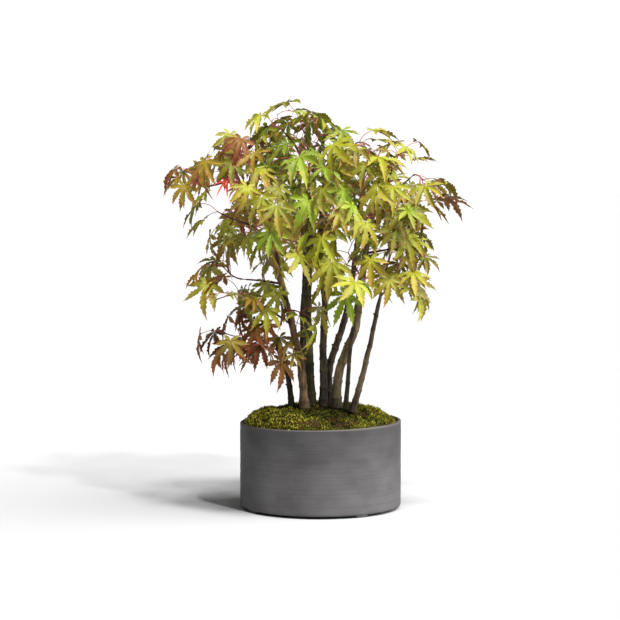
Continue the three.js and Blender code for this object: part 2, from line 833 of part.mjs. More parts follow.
// A leaf with its stalk: a three-sided rod that opens out into the blade, which is thickest
// a little past its base and thins to its outline. Its two small basal lobes are left out.
function leafSolid(leaf) {
  const { node, knee, base, middle, normal, side, span } = leaf;
  const rising = heading(node, knee);
  const falling = heading(knee, base);
  const headings = [rising, blend([rising, 1], [falling, 1]), blend([falling, 1], [middle, 1])];
  const stalk = [node, knee, base].flatMap((centre, index) => {
    const up = vec(0, 0, 0).crossVectors(headings[index], side).normalize();
    const left = vec(0, 0, 0).crossVectors(headings[index].normalize(), up);
    return [0, 120, 240].map((degrees) => {
      const angle = THREE.MathUtils.degToRad(degrees);
      const radius = STALK_RADII[index];
      const [rise, shift] = [radius * Math.cos(angle), radius * Math.sin(angle)];
      return blend([centre, 1], [up, rise], [left, shift]);
    });
  });
  const outline = leaf.outline();
  const thickest = blend([base, 1], [middle, THICKEST * span]);
  const above = blend([thickest, 1], [normal, BLADE_THICKNESS / 2]);
  const below = blend([thickest, 1], [normal, -BLADE_THICKNESS / 2]);
  const [ridge, right, left] = [6, 7, 8];
  const firstTip = stalk.length;
  const lastTip = firstTip + outline.length - 1;
  const [top, bottom] = [lastTip + 1, lastTip + 2];
  const edge = Array.from({ length: outline.length }, (_, index) => firstTip + index);
  const upperRim = [...edge, left, ridge, right, firstTip];
  const lowerRim = [...edge, left, right, firstTip];
  const fan = (rim, apex, turned) => rim.slice(1).map((corner, index) => (
    turned ? [corner, rim[index], apex] : [rim[index], corner, apex]));
  const triangles = [[0, 2, 1], ...sideFaces(3, 3)];
  triangles.push(...fan(upperRim, top, false), ...fan(lowerRim, bottom, true));
  return solidOf([...stalk, ...outline, above, below], triangles);
}

const joined = (solids) => solids.reduce((whole, solid) => whole.add(solid));

// ---------------------------------------------------------------- limbs as solids

// A stem spreads at its foot, and every limb draws in to a slim tip.
function limbRadii(limb, runs, isStem) {
  return runs.map((run) => {
    const taper = limb.radiusAt(run);
    const slim = TIP.radius + TIP.slope * (limb.length - run);
    const flare = isStem ? 1 + STEM.flare * Math.exp(-run / STEM.flareRun) : 1;
    return Math.min(taper, slim) * flare;
  });
}

// A limb's rod takes every other point of its axis. A stem has a few more near its foot.
function limbLine(limb, isStem) {
  const coarse = (_, index) => index % 2 === 0;
  const points = limb.axis.filter(coarse);
  const runs = limb.runs.filter(coarse);
  if (isStem) {
    const shares = STEM.footSteps;
    points.splice(1, 0, ...shares.map((share) => midway(points[0], points[1], share)));
    runs.splice(1, 0, ...shares.map((share) => share * runs[1]));
  }
  return { points, runs };
}

function limbRod(limb, { grow = 0, rings = Infinity } = {}) {
  const isStem = limb.name in STEMS;
  const { points, runs } = limbLine(limb, isStem);
  const radii = limbRadii(limb, runs, isStem);
  const [sides, startNormal] = isStem ? [STEM.sides, UP] : [BOUGH.sides, undefined];
  return rod(points.slice(0, rings), radii.slice(0, rings), sides, { startNormal, grow });
}

function limbSolid(limb, limbs) {
  if (limb.name in STEMS) return limbRod(limb);
  return limbRod(limb).subtract(limbRod(limbs[BOUGHS[limb.name].stem], { grow: CLEARANCE }));
}

// ---------------------------------------------------------------- a mass as one solid

// A twig's rod runs a little past its last node, so that the stalks there are sunk in it.
function twigRod(points, radii, startNormal) {
  const line = points.map((point) => point.clone());
  line.at(-1).addScaledVector(heading(points.at(-2), points.at(-1)), TWIG.bud);
  return rod(line, radii, TWIG.sides, { startNormal });
}

function massSolid(growth, limbs) {
  const { mass, twig, direction, fromTip, sides, leaves } = growth;
  const start = fromTip ? blend([twig.points[0], 1], [direction, CLEARANCE]) : twig.points[0];
  const pieces = [twigRod([start, ...twig.points.slice(1)], twig.radii, direction)];
  for (const side of sides) pieces.push(twigRod(side.points, TWIG.sunkRadii));
  pieces.push(...leaves.map(leafSolid));
  const whole = joined(pieces);
  return fromTip ? whole : whole.subtract(limbRod(limbs[mass.limb], { grow: CLEARANCE }));
}

// ---------------------------------------------------------------- pot and soil

function lathe(profile, segments) {
  const points = profile.map(([radius, height]) => new THREE.Vector2(radius, height));
  return new THREE.LatheGeometry(points, segments).rotateX(Math.PI / 2);
}

// Points on a quarter of a circle, from one angle to another in degrees.
function arc([x, z], radius, from, to, steps) {
  return Array.from({ length: steps + 1 }, (_, step) => {
    const angle = THREE.MathUtils.degToRad(between(from, to, step / steps));
    return [x + radius * Math.cos(angle), z + radius * Math.sin(angle)];
  });
}

function potSolid() {
  const { radius, height, wall, floor, corner, lip } = POT;
  const inside = radius - wall;
  const profile = [
    [0, 0],
    ...arc([radius - corner, corner], corner, -90, 0, 2),
    ...arc([radius - lip, height - lip], lip, 0, 90, 1),
    ...arc([inside + lip, height - lip], lip, 90, 180, 1),
    [inside, floor],
    [0, floor],
  ];
  const slope = (point) => {
    const share = THREE.MathUtils.clamp(2 * (point.z / height) - 1, 0, 1);
    point.z += POT.rimSlope * point.x * share;
    return point;
  };
  const bowl = solidOfGeometry(lathe(profile, POT.segments), slope);
  return joined([bowl, ...Array.from({ length: FEET.count }, (_, index) => footSolid(index))]);
}

function footSolid(index) {
  const middle = FEET.first + (index * 2 * Math.PI) / FEET.count;
  const [from, to] = [middle - FEET.width / 2, middle + FEET.width / 2];
  const shape = new THREE.Shape();
  shape.absarc(0, 0, FEET.outer, from, to, false);
  shape.absarc(0, 0, FEET.inner, to, from, true);
  const depth = FEET.height + FEET.sunk;
  const block = new THREE.ExtrudeGeometry(shape, { depth, bevelEnabled: false, curveSegments: 3 });
  return solidOfGeometry(block.translate(0, 0, -FEET.height));
}

// Soil fills the pot, heaped into a low dome with a lumpy cover of moss. Each stem stands
// in a pocket of it.
function moundSolid(limbs) {
  const edge = POT.radius - POT.wall - CLEARANCE;
  const profile = [[0, POT.floor + CLEARANCE], [edge, POT.floor + CLEARANCE], [edge, MOUND.brim]];
  for (let step = 0; step <= MOUND.steps; step += 1) {
    const angle = (step / MOUND.steps) * (Math.PI / 2);
    profile.push([MOUND.radius * Math.cos(angle), MOUND.foot + MOUND.rise * Math.sin(angle)]);
  }
  profile.at(-1)[0] = 0;
  const lumps = (point) => {
    if (point.z < MOUND.foot - 0.01) return point;
    const wave = Math.sin(point.x / MOUND.lumpPitch) * Math.cos(point.y / MOUND.lumpPitch);
    point.z += MOUND.lump * wave;
    return point;
  };
  const heap = solidOfGeometry(lathe(profile, POT.segments), lumps);
  return Object.keys(STEMS).reduce((soil, name) => (
    soil.subtract(limbRod(limbs[name], { grow: POCKET_MARGIN, rings: POCKET_RINGS }))), heap);
}

// ---------------------------------------------------------------- the whole plant

function meshOf(name, solid, finish) {
  const { numProp, vertProperties, triVerts } = solid.getMesh();
  const geometry = new THREE.BufferGeometry();
  geometry.setAttribute("position", new THREE.BufferAttribute(vertProperties, numProp));
  geometry.setIndex(new THREE.BufferAttribute(triVerts, 1));
  geometry.computeVertexNormals();
  const mesh = new THREE.Mesh(geometry, new THREE.MeshStandardMaterial(finish));
  mesh.name = name;
  return mesh;
}

function buildPlant() {
  const plant = new THREE.Group();
  const limbs = growLimbs();
  plant.add(meshOf("pot", potSolid(), STONEWARE));
  plant.add(meshOf("mossy_soil", moundSolid(limbs), MOSS));
  for (const limb of Object.values(limbs)) {
    plant.add(meshOf(limb.name, limbSolid(limb, limbs), limb.name in STEMS ? BARK : YOUNG_BARK));
  }
  for (const growth of growMasses(limbs)) {
    const { name, tint } = growth.mass;
    plant.add(meshOf(`leaves_${name}`, massSolid(growth, limbs), TINTS[tint]));
  }
  return plant;
}

export default buildPlant();
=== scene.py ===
"""Visible finish of a clump-style Japanese maple bonsai in a round stoneware pot.

Lengths in the growth rule are millimetres, as in the part's source, and every mesh is
scaled to metres when it is made. +Z is up, -Y is the front and the origin is the centre of
the pot's flat underside.
"""

from __future__ import annotations

import logging
import math
from dataclasses import dataclass, field, replace
from enum import Enum

import bpy
import numpy as np
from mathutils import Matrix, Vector, noise

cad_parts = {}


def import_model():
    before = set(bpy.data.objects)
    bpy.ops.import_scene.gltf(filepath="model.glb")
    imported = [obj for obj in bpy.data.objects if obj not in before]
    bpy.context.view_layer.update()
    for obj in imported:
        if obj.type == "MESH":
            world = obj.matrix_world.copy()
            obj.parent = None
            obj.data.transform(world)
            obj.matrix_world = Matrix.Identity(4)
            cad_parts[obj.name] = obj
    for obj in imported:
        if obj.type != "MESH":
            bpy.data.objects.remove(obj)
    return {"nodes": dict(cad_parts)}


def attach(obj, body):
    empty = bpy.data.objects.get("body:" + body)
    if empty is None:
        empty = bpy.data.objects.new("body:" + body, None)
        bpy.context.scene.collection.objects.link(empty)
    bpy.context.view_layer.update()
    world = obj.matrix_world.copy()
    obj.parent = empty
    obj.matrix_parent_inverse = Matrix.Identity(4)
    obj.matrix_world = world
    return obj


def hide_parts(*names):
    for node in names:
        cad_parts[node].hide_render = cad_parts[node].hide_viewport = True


LOG = logging.getLogger("maple")
MM = 0.001
BODY = "root"
UP = np.array([0.0, 0.0, 1.0])
Colour = tuple[float, float, float]


# ------------------------------------------------------------------ small tools


def vec(x: float, y: float, z: float) -> np.ndarray:
    """Return a point or direction as an array."""
    return np.array([x, y, z], dtype=float)


def unit(vector: np.ndarray) -> np.ndarray:
    """Return the vector's direction."""
    return vector / math.sqrt(float(vector @ vector))


def lerp(low: float, high: float, share: float) -> float:
    """Return the number at a share of the way from low to high."""
    return low + (high - low) * share


def across(direction: np.ndarray) -> tuple[np.ndarray, np.ndarray]:
    """Find two directions square to a given one and to each other.

    Args:
        direction: A unit vector.

    Returns:
        The two directions.
    """
    first = np.cross(direction, UP)
    if first @ first < 1e-3:
        first = vec(1, 0, 0)
    first = unit(first)
    return first, np.cross(first, direction)


def linear(hex_colour: int) -> Colour:
    """Turn a 0xRRGGBB colour into the linear numbers that shaders take.

    Args:
        hex_colour: The colour as it looks on a screen.

    Returns:
        Its red, green and blue.
    """
    parts = [((hex_colour >> shift) & 255) / 255 for shift in (16, 8, 0)]
    red, green, blue = (p / 12.92 if p <= 0.04045 else ((p + 0.055) / 1.055) ** 2.4 for p in parts)
    return red, green, blue


class Draws:
    """A repeatable run of numbers between 0 and 1."""

    def __init__(self, seed: int) -> None:
        """Start the run at a seed."""
        self.state = (seed * 7919 + 17) % 2147483647
        for _ in range(3):
            self.next()

    def next(self) -> float:
        """Return the next number."""
        self.state = (self.state * 48271) % 2147483647
        return self.state / 2147483647

    def between(self, low: float, high: float) -> float:
        """Return the next number, spread from low to high."""
        return lerp(low, high, self.next())


class MeshMaker:
    """Collects vertices and faces in millimetres and turns them into one piece."""

    def __init__(self) -> None:
        """Start with nothing."""
        self.points: list[np.ndarray] = []
        self.faces: list[np.ndarray] = []
        self.slots: list[np.ndarray] = []
        self.count = 0

    def add(self, points: np.ndarray, faces: np.ndarray, slots: np.ndarray | int = 0) -> None:
        """Add a patch of the mesh.

        Args:
            points: Vertices, one row each.
            faces: Triangles, as rows of indices into these points.
            slots: The material slot of each face, or of them all.
        """
        self.points.append(points)
        self.faces.append(faces + self.count)
        self.slots.append(np.broadcast_to(slots, len(faces)))
        self.count += len(points)

    def build(self, name: str, materials: list[bpy.types.Material]) -> bpy.types.Object:
        """Make the object.

        Args:
            name: The piece's name.
            materials: Its material slots.

        Returns:
            The new object, smooth shaded, at the origin.
        """
        mesh = bpy.data.meshes.new(name)
        points = np.concatenate(self.points) * MM
        faces = np.concatenate(self.faces)
        mesh.vertices.add(len(points))
        mesh.vertices.foreach_set("co", points.astype(np.float32).ravel())
        mesh.loops.add(faces.size)
        mesh.loops.foreach_set("vertex_index", faces.astype(np.int32).ravel())
        mesh.polygons.add(len(faces))
        mesh.polygons.foreach_set("loop_start", np.arange(0, faces.size, 3, dtype=np.int32))
        mesh.polygons.foreach_set("material_index", np.concatenate(self.slots).astype(np.int32))
        mesh.update(calc_edges=True)
        mesh.validate()
        for material in materials:
            mesh.materials.append(material)
        mesh.shade_smooth()
        piece = bpy.data.objects.new(name, mesh)
        bpy.context.scene.collection.objects.link(piece)
        return piece


def ring_faces(rings: int, sides: int) -> np.ndarray:
    """List the side triangles between rings of corners that follow one another.

    Args:
        rings: How many rings there are.
        sides: How many corners each has.

    Returns:
        The triangles, turned outwards where the corners run right-handed along the rings.
    """
    ring, side = np.meshgrid(np.arange(rings - 1), np.arange(sides), indexing="ij")
    low = (ring * sides + side).ravel()
    high = (ring * sides + (side + 1) % sides).ravel()
    first = np.stack([low, high, high + sides], axis=1)
    second = np.stack([low, high + sides, low + sides], axis=1)
    return np.concatenate([first, second])


def tube(points: np.ndarray, radii: np.ndarray, sides: int) -> tuple[np.ndarray, np.ndarray]:
    """Sweep a round section along a line and close both ends.

    Args:
        points: The line's points.
        radii: The radius at each.
        sides: How many sides the section has.

    Returns:
        Vertices and triangles.
    """
    last = len(points) - 1
    ahead = points[np.minimum(np.arange(last + 1) + 1, last)]
    behind = points[np.maximum(np.arange(last + 1) - 1, 0)]
    directions = (ahead - behind) / np.linalg.norm(ahead - behind, axis=1)[:, None]
    angles = np.linspace(0, 2 * math.pi, sides, endpoint=False)
    first = across(directions[0])[0]
    rows = []
    for centre, direction, radius in zip(points, directions, radii):
        first = unit(first - direction * (first @ direction))
        second = np.cross(direction, first)
        section = np.outer(np.cos(angles), first) + np.outer(np.sin(angles), second)
        rows.append(centre + section * np.broadcast_to(radius, sides)[:, None])
    vertices = np.concatenate([*rows, points[:1], points[-1:]])
    side = np.arange(sides)
    following = (side + 1) % sides
    start, end = len(vertices) - 2, len(vertices) - 1
    bottom = np.stack([np.full(sides, start), following, side], axis=1)
    top = np.stack([np.full(sides, end), last * sides + side, last * sides + following], axis=1)
    return vertices, np.concatenate([ring_faces(last + 1, sides), bottom, top])


def dress(piece: bpy.types.Object, slot: str, *nodes: str) -> bpy.types.Object:
    """Hang a piece on the body and hide the solids it stands for.

    Args:
        piece: The finished piece.
        slot: The record's material slot; not used.
        nodes: The solids that the piece replaces.

    Returns:
        The piece.
    """
    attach(piece, BODY)
    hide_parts(*nodes)
    LOG.info("%s: %d faces", piece.name, len(piece.data.polygons))
    return piece


# ------------------------------------------------------------------ finishes


class Shader:
    """A node material with one Principled shader, and short ways to add to it."""

    def __init__(self, name: str, roughness: float, specular: float = 0.5) -> None:
        """Make the material with a roughness and a specular level."""
        self.material = bpy.data.materials.new(name)
        self.material.use_nodes = True
        self.nodes = self.material.node_tree.nodes
        self.links = self.material.node_tree.links
        self.surface = self.nodes["Principled BSDF"]
        self.surface.inputs["Roughness"].default_value = roughness
        self.surface.inputs["Specular IOR Level"].default_value = specular

    def place(self, scale: Colour) -> bpy.types.NodeSocket:
        """Return the object's own coordinates, stretched by a scale along each axis."""
        coordinates = self.nodes.new("ShaderNodeTexCoord")
        mapping = self.nodes.new("ShaderNodeMapping")
        mapping.inputs["Scale"].default_value = scale
        self.links.new(coordinates.outputs["Object"], mapping.inputs["Vector"])
        return mapping.outputs["Vector"]

    def noise(self, scale: Colour, detail: float = 4.0) -> bpy.types.NodeSocket:
        """Return a noise pattern on the object's coordinates."""
        texture = self.nodes.new("ShaderNodeTexNoise")
        texture.inputs["Scale"].default_value = 1.0
        texture.inputs["Detail"].default_value = detail
        self.links.new(self.place(scale), texture.inputs["Vector"])
        return texture.outputs["Fac"]

    def height(self, low: float, high: float) -> bpy.types.NodeSocket:
        """Return 0 to 1 as the object's height goes from low to high, in metres."""
        separate = self.nodes.new("ShaderNodeSeparateXYZ")
        spread = self.nodes.new("ShaderNodeMapRange")
        spread.inputs["From Min"].default_value = low
        spread.inputs["From Max"].default_value = high
        self.links.new(self.place((1, 1, 1)), separate.inputs[0])
        self.links.new(separate.outputs["Z"], spread.inputs["Value"])
        return spread.outputs["Result"]

    def ramp(self, value: bpy.types.NodeSocket, stops: list[tuple[float, Colour]]) -> bpy.types.NodeSocket:
        """Turn a value into a colour.

        Args:
            value: The pattern.
            stops: Places from 0 to 1 with their colours.

        Returns:
            The colour.
        """
        ramp = self.nodes.new("ShaderNodeValToRGB")
        elements = ramp.color_ramp.elements
        while len(elements) < len(stops):
            elements.new(0.5)
        for element, (place, colour) in zip(elements, stops):
            element.position = place
            element.color = (*colour, 1)
        self.links.new(value, ramp.inputs["Fac"])
        return ramp.outputs["Color"]

    def mix(
        self,
        share: bpy.types.NodeSocket | float,
        first: bpy.types.NodeSocket,
        second: bpy.types.NodeSocket,
        blend: str = "MIX",
    ) -> bpy.types.NodeSocket:
        """Blend two colours.

        Args:
            share: How much of the second shows.
            first: The colour beneath.
            second: The colour over it.
            blend: The way they blend.

        Returns:
            The blended colour.
        """
        node = self.nodes.new("ShaderNodeMix")
        node.data_type = "RGBA"
        node.blend_type = blend
        if isinstance(share, float):
            node.inputs[0].default_value = share
        else:
            self.links.new(share, node.inputs[0])
        self.links.new(first, node.inputs[6])
        self.links.new(second, node.inputs[7])
        return node.outputs[2]

    def colour(self, source: bpy.types.NodeSocket | Colour) -> None:
        """Give the surface its colour, from a pattern or plain."""
        if isinstance(source, tuple):
            self.surface.inputs["Base Color"].default_value = (*source, 1)
        else:
            self.links.new(source, self.surface.inputs["Base Color"])

    def bump(self, value: bpy.types.NodeSocket, depth: float, strength: float = 1.0) -> None:
        """Raise the surface by a pattern, to a depth in metres."""
        node = self.nodes.new("ShaderNodeBump")
        node.inputs["Distance"].default_value = depth
        node.inputs["Strength"].default_value = strength
        self.links.new(value, node.inputs["Height"])
        self.links.new(node.outputs["Normal"], self.surface.inputs["Normal"])


@dataclass(frozen=True)
class Stoneware:
    """Dark grey unglazed clay with fine turning lines, painted shade that darkens it towards the top, and a
    paler band over the rim's top.
    """

    body: Colour = linear(0x646262)
    dark: Colour = linear(0x4E4C4C)
    rim_band: Colour = linear(0x5A5654)
    rim_low: float = 0.1025
    rim_high: float = 0.1055

    def material(self) -> bpy.types.Material:
        """Return the finished material."""
        shader = Shader("stoneware", roughness=0.72, specular=0.35)
        lines = shader.noise((2.5, 2.5, 640.0), detail=4.0)
        clouds = shader.noise((22.0, 22.0, 34.0), detail=5.0)
        clay = shader.ramp(clouds, [(0.3, self.dark), (0.7, self.body)])
        lined = shader.ramp(lines, [(0.35, (0.88, 0.88, 0.88)), (0.65, (1.0, 1.0, 1.0))])
        turned = shader.mix(1.0, clay, lined, "MULTIPLY")
        # Painted shade: the clay darkens towards the rim, to 0.6 at the top, where the crown's leaves would
        # shade the wall.
        painted_shade = shader.ramp(
            shader.height(0.0, 0.105),
            [(0.0, (1.0, 1.0, 1.0)), (0.45, (0.86, 0.86, 0.86)), (0.95, (0.6, 0.6, 0.6))],
        )
        shade_darkened = shader.mix(1.0, turned, painted_shade, "MULTIPLY")
        # A paler, slightly warm band over the rim's top, where the painted shade on the wall stops.
        rim_band = shader.ramp(lines, [(0.0, self.rim_band), (1.0, self.rim_band)])
        shader.colour(shader.mix(shader.height(self.rim_low, self.rim_high), shade_darkened, rim_band))
        shader.bump(lines, depth=0.0004, strength=0.35)
        return shader.material


@dataclass(frozen=True)
class Bark:
    """Fine-grained bark with upright streaks, blotches and a dark foot: moss colour with painted shade."""

    name: str
    light: Colour
    mid: Colour
    dark: Colour
    moss: Colour = linear(0x3C3A1E)
    foot_low: float = 0.112
    foot_high: float = 0.185

    def material(self) -> bpy.types.Material:
        """Return the finished material."""
        shader = Shader(f"bark_{self.name}", roughness=0.82, specular=0.25)
        streaks = shader.noise((520.0, 520.0, 55.0), detail=6.0)
        blotches = shader.noise((95.0, 95.0, 60.0), detail=5.0)
        grain = shader.noise((900.0, 900.0, 260.0), detail=3.0)
        wood = shader.ramp(streaks, [(0.32, self.dark), (0.5, self.mid), (0.7, self.light)])
        patches = shader.ramp(blotches, [(0.38, self.dark), (0.62, self.light)])
        mottled = shader.mix(0.45, wood, patches)
        # The foot is moss colour with painted shade: near black low on the stem, where the crown and the
        # other stems shade it.
        painted_shade = shader.ramp(streaks, [(0.45, (0.006, 0.006, 0.004)), (0.9, self.moss)])
        shader.colour(shader.mix(shader.height(self.foot_low, self.foot_high), painted_shade, mottled))
        shader.bump(grain, depth=0.0006, strength=0.6)
        return shader.material


@dataclass(frozen=True)
class Plain:
    """One even colour, for what is too fine to show a pattern."""

    name: str
    colour: Colour
    roughness: float = 0.55
    specular: float = 0.4

    def material(self) -> bpy.types.Material:
        """Return the finished material."""
        shader = Shader(self.name, self.roughness, self.specular)
        shader.colour(self.colour)
        return shader.material


# Lighter and darker copies of every leaf colour, dealt out by leaf and lobe: partly the leaves' own
# differences in tone, partly painted light and shade for how a lobe is lit, the lightest partly a painted
# highlight.
SHADES = (0.66, 0.94, 1.14)


class Tint(Enum):
    """The colours that leaves come in: heart, outer lobes, margin and ribs."""

    RUSSET = ("leaf_russet", 0x7A5220, 0x7E4824, 0x78321C, 0x966440)
    BRONZE = ("leaf_bronze", 0x86741E, 0x8C6E22, 0x8A5622, 0xA0863E)
    OLIVE = ("leaf_olive", 0x86861A, 0x8E8020, 0x927028, 0xA69E44)
    LIME = ("leaf_lime", 0x8C8E1E, 0x948C26, 0x9A8030, 0xACA654)
    FRESH = ("leaf_fresh", 0x748818, 0x828A1E, 0x908428, 0x9CA248)

    def __init__(self, slot: str, heart: int, outer: int, margin: int, rib: int) -> None:
        """Keep the record's slot and the four colours."""
        self.slot = slot
        self.shades = {"heart": heart, "outer": outer, "margin": margin, "rib": rib}

    def vary(self, draws: Draws) -> Tint:
        """Return this tint, or now and then one next to it."""
        tints = list(Tint)
        step = draws.next()
        shift = -2 if step < 0.08 else -1 if step < 0.28 else 1 if step > 0.82 else 0
        return tints[min(max(tints.index(self) + shift, 0), len(tints) - 1)]

    def materials(self) -> list[bpy.types.Material]:
        """Return the materials: for each of three shades, one for each part of a leaf."""
        made = []
        # Each shade is the same colour made lighter or darker: partly tone, partly painted light and shade.
        for shade, light in enumerate(SHADES):
            for part, colour in self.shades.items():
                red, green, blue = (level * light for level in linear(colour))
                made.append(Plain(f"{self.slot}_{part}_{shade}", (red, green, blue), 0.5, 0.3).material())
        return made


# ------------------------------------------------------------------ the growth rule


@dataclass(frozen=True)
class Mound:
    """The dome of soil that the stems stand in."""

    radius: float = 94.0
    foot: float = 101.0
    rise: float = 24.0

    def height(self, x: float, y: float) -> float:
        """Return the dome's height over a point."""
        return self.foot + self.rise * math.sqrt(max(1 - (x * x + y * y) / self.radius**2, 0))


CLEARANCE = 0.3
FOOT_DEPTH = 1.5
LOWEST_LEAF = 135.0
STALK_ROOM = 0.8
NOTCH = 0.27
BASAL_NOTCH = 0.8
LOBES = [(-124, 0.32), (-78, 0.62), (-38, 0.88), (0, 1.0), (38, 0.88), (78, 0.62), (124, 0.32)]


def capsule(start: np.ndarray, end: np.ndarray, start_radius: float, end_radius: float) -> np.ndarray:
    """Return one row of the room's table: a line's ends and the radius at each."""
    return np.array([*start, *end, start_radius, end_radius])


def chain(points: np.ndarray, radii: list[float]) -> np.ndarray:
    """Return the capsules along a line of points."""
    return np.array([capsule(*row) for row in zip(points, points[1:], radii, radii[1:])])


class Room:
    """The room already taken, as capsules that each belong to an owner."""

    def __init__(self) -> None:
        """Start with nothing taken."""
        self.taken = np.zeros((0, 8))
        self.owners: list[str] = []

    def add(self, capsules: np.ndarray, owner: str) -> None:
        """Take up room for an owner."""
        self.taken = np.concatenate([self.taken, capsules])
        self.owners.extend([owner] * len(capsules))

    def is_clear(self, capsules: np.ndarray, ignored: tuple[str, ...] = ()) -> bool:
        """Tell whether capsules keep their distance from all that is taken.

        Args:
            capsules: The room that is wanted.
            ignored: Owners that may be touched.

        Returns:
            True if nothing is nearer than the clearance.
        """
        margin = 6.0
        low = np.minimum(capsules[:, 0:3], capsules[:, 3:6]).min(axis=0) - margin
        high = np.maximum(capsules[:, 0:3], capsules[:, 3:6]).max(axis=0) + margin
        lower = np.minimum(self.taken[:, 0:3], self.taken[:, 3:6]) - self.taken[:, 6:7]
        upper = np.maximum(self.taken[:, 0:3], self.taken[:, 3:6]) + self.taken[:, 6:7]
        near = ((lower < high) & (upper > low)).all(axis=1)
        for row in np.flatnonzero(near):
            near[row] = self.owners[row] not in ignored
        others = self.taken[near]
        return not len(others) or bool((self.gaps(capsules, others) > CLEARANCE).all())

    @staticmethod
    def gaps(ones: np.ndarray, others: np.ndarray) -> np.ndarray:
        """Return how far apart the surfaces are, where the middle lines pass closest."""
        along = (ones[:, 3:6] - ones[:, 0:3])[:, None]
        beside = (others[:, 3:6] - others[:, 0:3])[None]
        offset = ones[:, None, 0:3] - others[None, :, 0:3]
        a, e, b = (along * along).sum(2), (beside * beside).sum(2), (along * beside).sum(2)
        c, f = (along * offset).sum(2), (beside * offset).sum(2)
        spread = a * e - b * b
        s = np.where(spread > 1e-9, np.clip((b * f - c * e) / np.maximum(spread, 1e-9), 0, 1), 0)
        t = (b * s + f) / e
        s = np.where(t < 0, np.clip(-c / a, 0, 1), np.where(t > 1, np.clip((b - c) / a, 0, 1), s))
        t = np.clip(t, 0, 1)
        apart = offset + along * s[..., None] - beside * t[..., None]
        thick = lerp(ones[:, None, 6], ones[:, None, 7], s) + lerp(others[None, :, 6], others[None, :, 7], t)
        return np.sqrt((apart * apart).sum(2)) - thick


def smooth_run(points: list[np.ndarray], steps: int = 4) -> np.ndarray:
    """Run a smooth line through points.

    Args:
        points: The points.
        steps: Steps between each two of them.

    Returns:
        The line's points, one row each.
    """
    padded = [2 * points[0] - points[1], *points, 2 * points[-1] - points[-2]]
    run = []
    for a, b, c, d in zip(padded, padded[1:], padded[2:], padded[3:]):
        for t in np.arange(steps) / steps:
            bend = (c - a) * t + (2 * a - 5 * b + 4 * c - d) * t**2 + (3 * b - a - 3 * c + d) * t**3
            run.append(b + 0.5 * bend)
    return np.array([*run, points[-1]])


class Limb:
    """A stem or bough: one line that tapers from its thick end to its tip."""

    def __init__(self, name: str, points: list[np.ndarray], thick: float, thin: float) -> None:
        """Lay the line through its points."""
        self.name = name
        self.axis = smooth_run(points)
        self.runs = np.array([0.0, *np.cumsum(np.linalg.norm(np.diff(self.axis, axis=0), axis=1))])
        self.length = float(self.runs[-1])
        self.thick = thick
        self.thin = thin

    def radius_at(self, run: np.ndarray) -> np.ndarray:
        """Return the radius at runs along the limb."""
        return lerp(self.thick, self.thin, run / self.length)

    def between(self, index: int, share: float) -> tuple[np.ndarray, np.ndarray]:
        """Return the point and direction at a share of the stretch that ends at an index."""
        low, high = self.axis[index - 1], self.axis[index]
        return lerp(low, high, share), unit(high - low)

    def at_height(self, height: float) -> tuple[np.ndarray, np.ndarray]:
        """Return the point and direction where the limb first reaches a height."""
        index = 1 + int(np.argmax(self.axis[1:, 2] >= height))
        low, high = self.axis[index - 1, 2], self.axis[index, 2]
        return self.between(index, (height - low) / (high - low))

    def at_share(self, share: float) -> tuple[np.ndarray, np.ndarray]:
        """Return the point and direction at a share of the length."""
        if share >= 1:
            return self.between(len(self.axis) - 1, 1.0)
        index = 1 + int(np.argmax(self.runs[1:] >= share * self.length))
        step = self.runs[index] - self.runs[index - 1]
        return self.between(index, (share * self.length - self.runs[index - 1]) / step)

    def room(self) -> np.ndarray:
        """Return the capsules that the limb takes up."""
        return chain(self.axis, [radius + CLEARANCE for radius in self.radius_at(self.runs)])


@dataclass(frozen=True)
class StemPlan:
    """A stem: its foot on the mound, the points it passes through and its radii."""

    name: str
    foot: tuple[float, float]
    route: list[tuple[float, float, float]]
    thick: float
    thin: float

    def grow(self, mound: Mound) -> Limb:
        """Return the stem, standing a little way down in the soil."""
        x, y = self.foot
        foot = vec(x, y, mound.height(x, y) - FOOT_DEPTH)
        return Limb(self.name, [foot, *map(np.array, self.route)], self.thick, self.thin)


@dataclass(frozen=True)
class BoughPlan:
    """A bough: the stem and height it leaves, the points it passes through, its radii."""

    name: str
    stem: str
    height: float
    route: list[tuple[float, float, float]]
    thick: float
    thin: float

    def grow(self, limbs: dict[str, Limb]) -> Limb:
        """Return the bough, starting on its stem's middle line."""
        start, _ = limbs[self.stem].at_height(self.height)
        return Limb(self.name, [start, *map(np.array, self.route)], self.thick, self.thin)


class Twig:
    """A twig that bends evenly from its start, past a guide point, to its tip."""

    def __init__(self, start: np.ndarray, guide: np.ndarray, tip: np.ndarray, radii: list[float]) -> None:
        """Lay the twig."""
        self.radii = radii
        self.ends = (start, guide, tip)
        self.pieces = len(radii) - 1
        self.points = self.line(self.pieces)

    def line(self, pieces: int) -> np.ndarray:
        """Return the twig's middle line in a number of pieces."""
        t = np.linspace(0, 1, pieces + 1)[:, None]
        start, guide, tip = self.ends
        return (1 - t) ** 2 * start + 2 * t * (1 - t) * guide + t * t * tip

    def at(self, share: float) -> tuple[np.ndarray, np.ndarray]:
        """Return the point and direction at a share of the twig."""
        index = min(int(share * self.pieces), self.pieces - 1)
        start, end = self.points[index], self.points[index + 1]
        return lerp(start, end, share * self.pieces - index), unit(end - start)


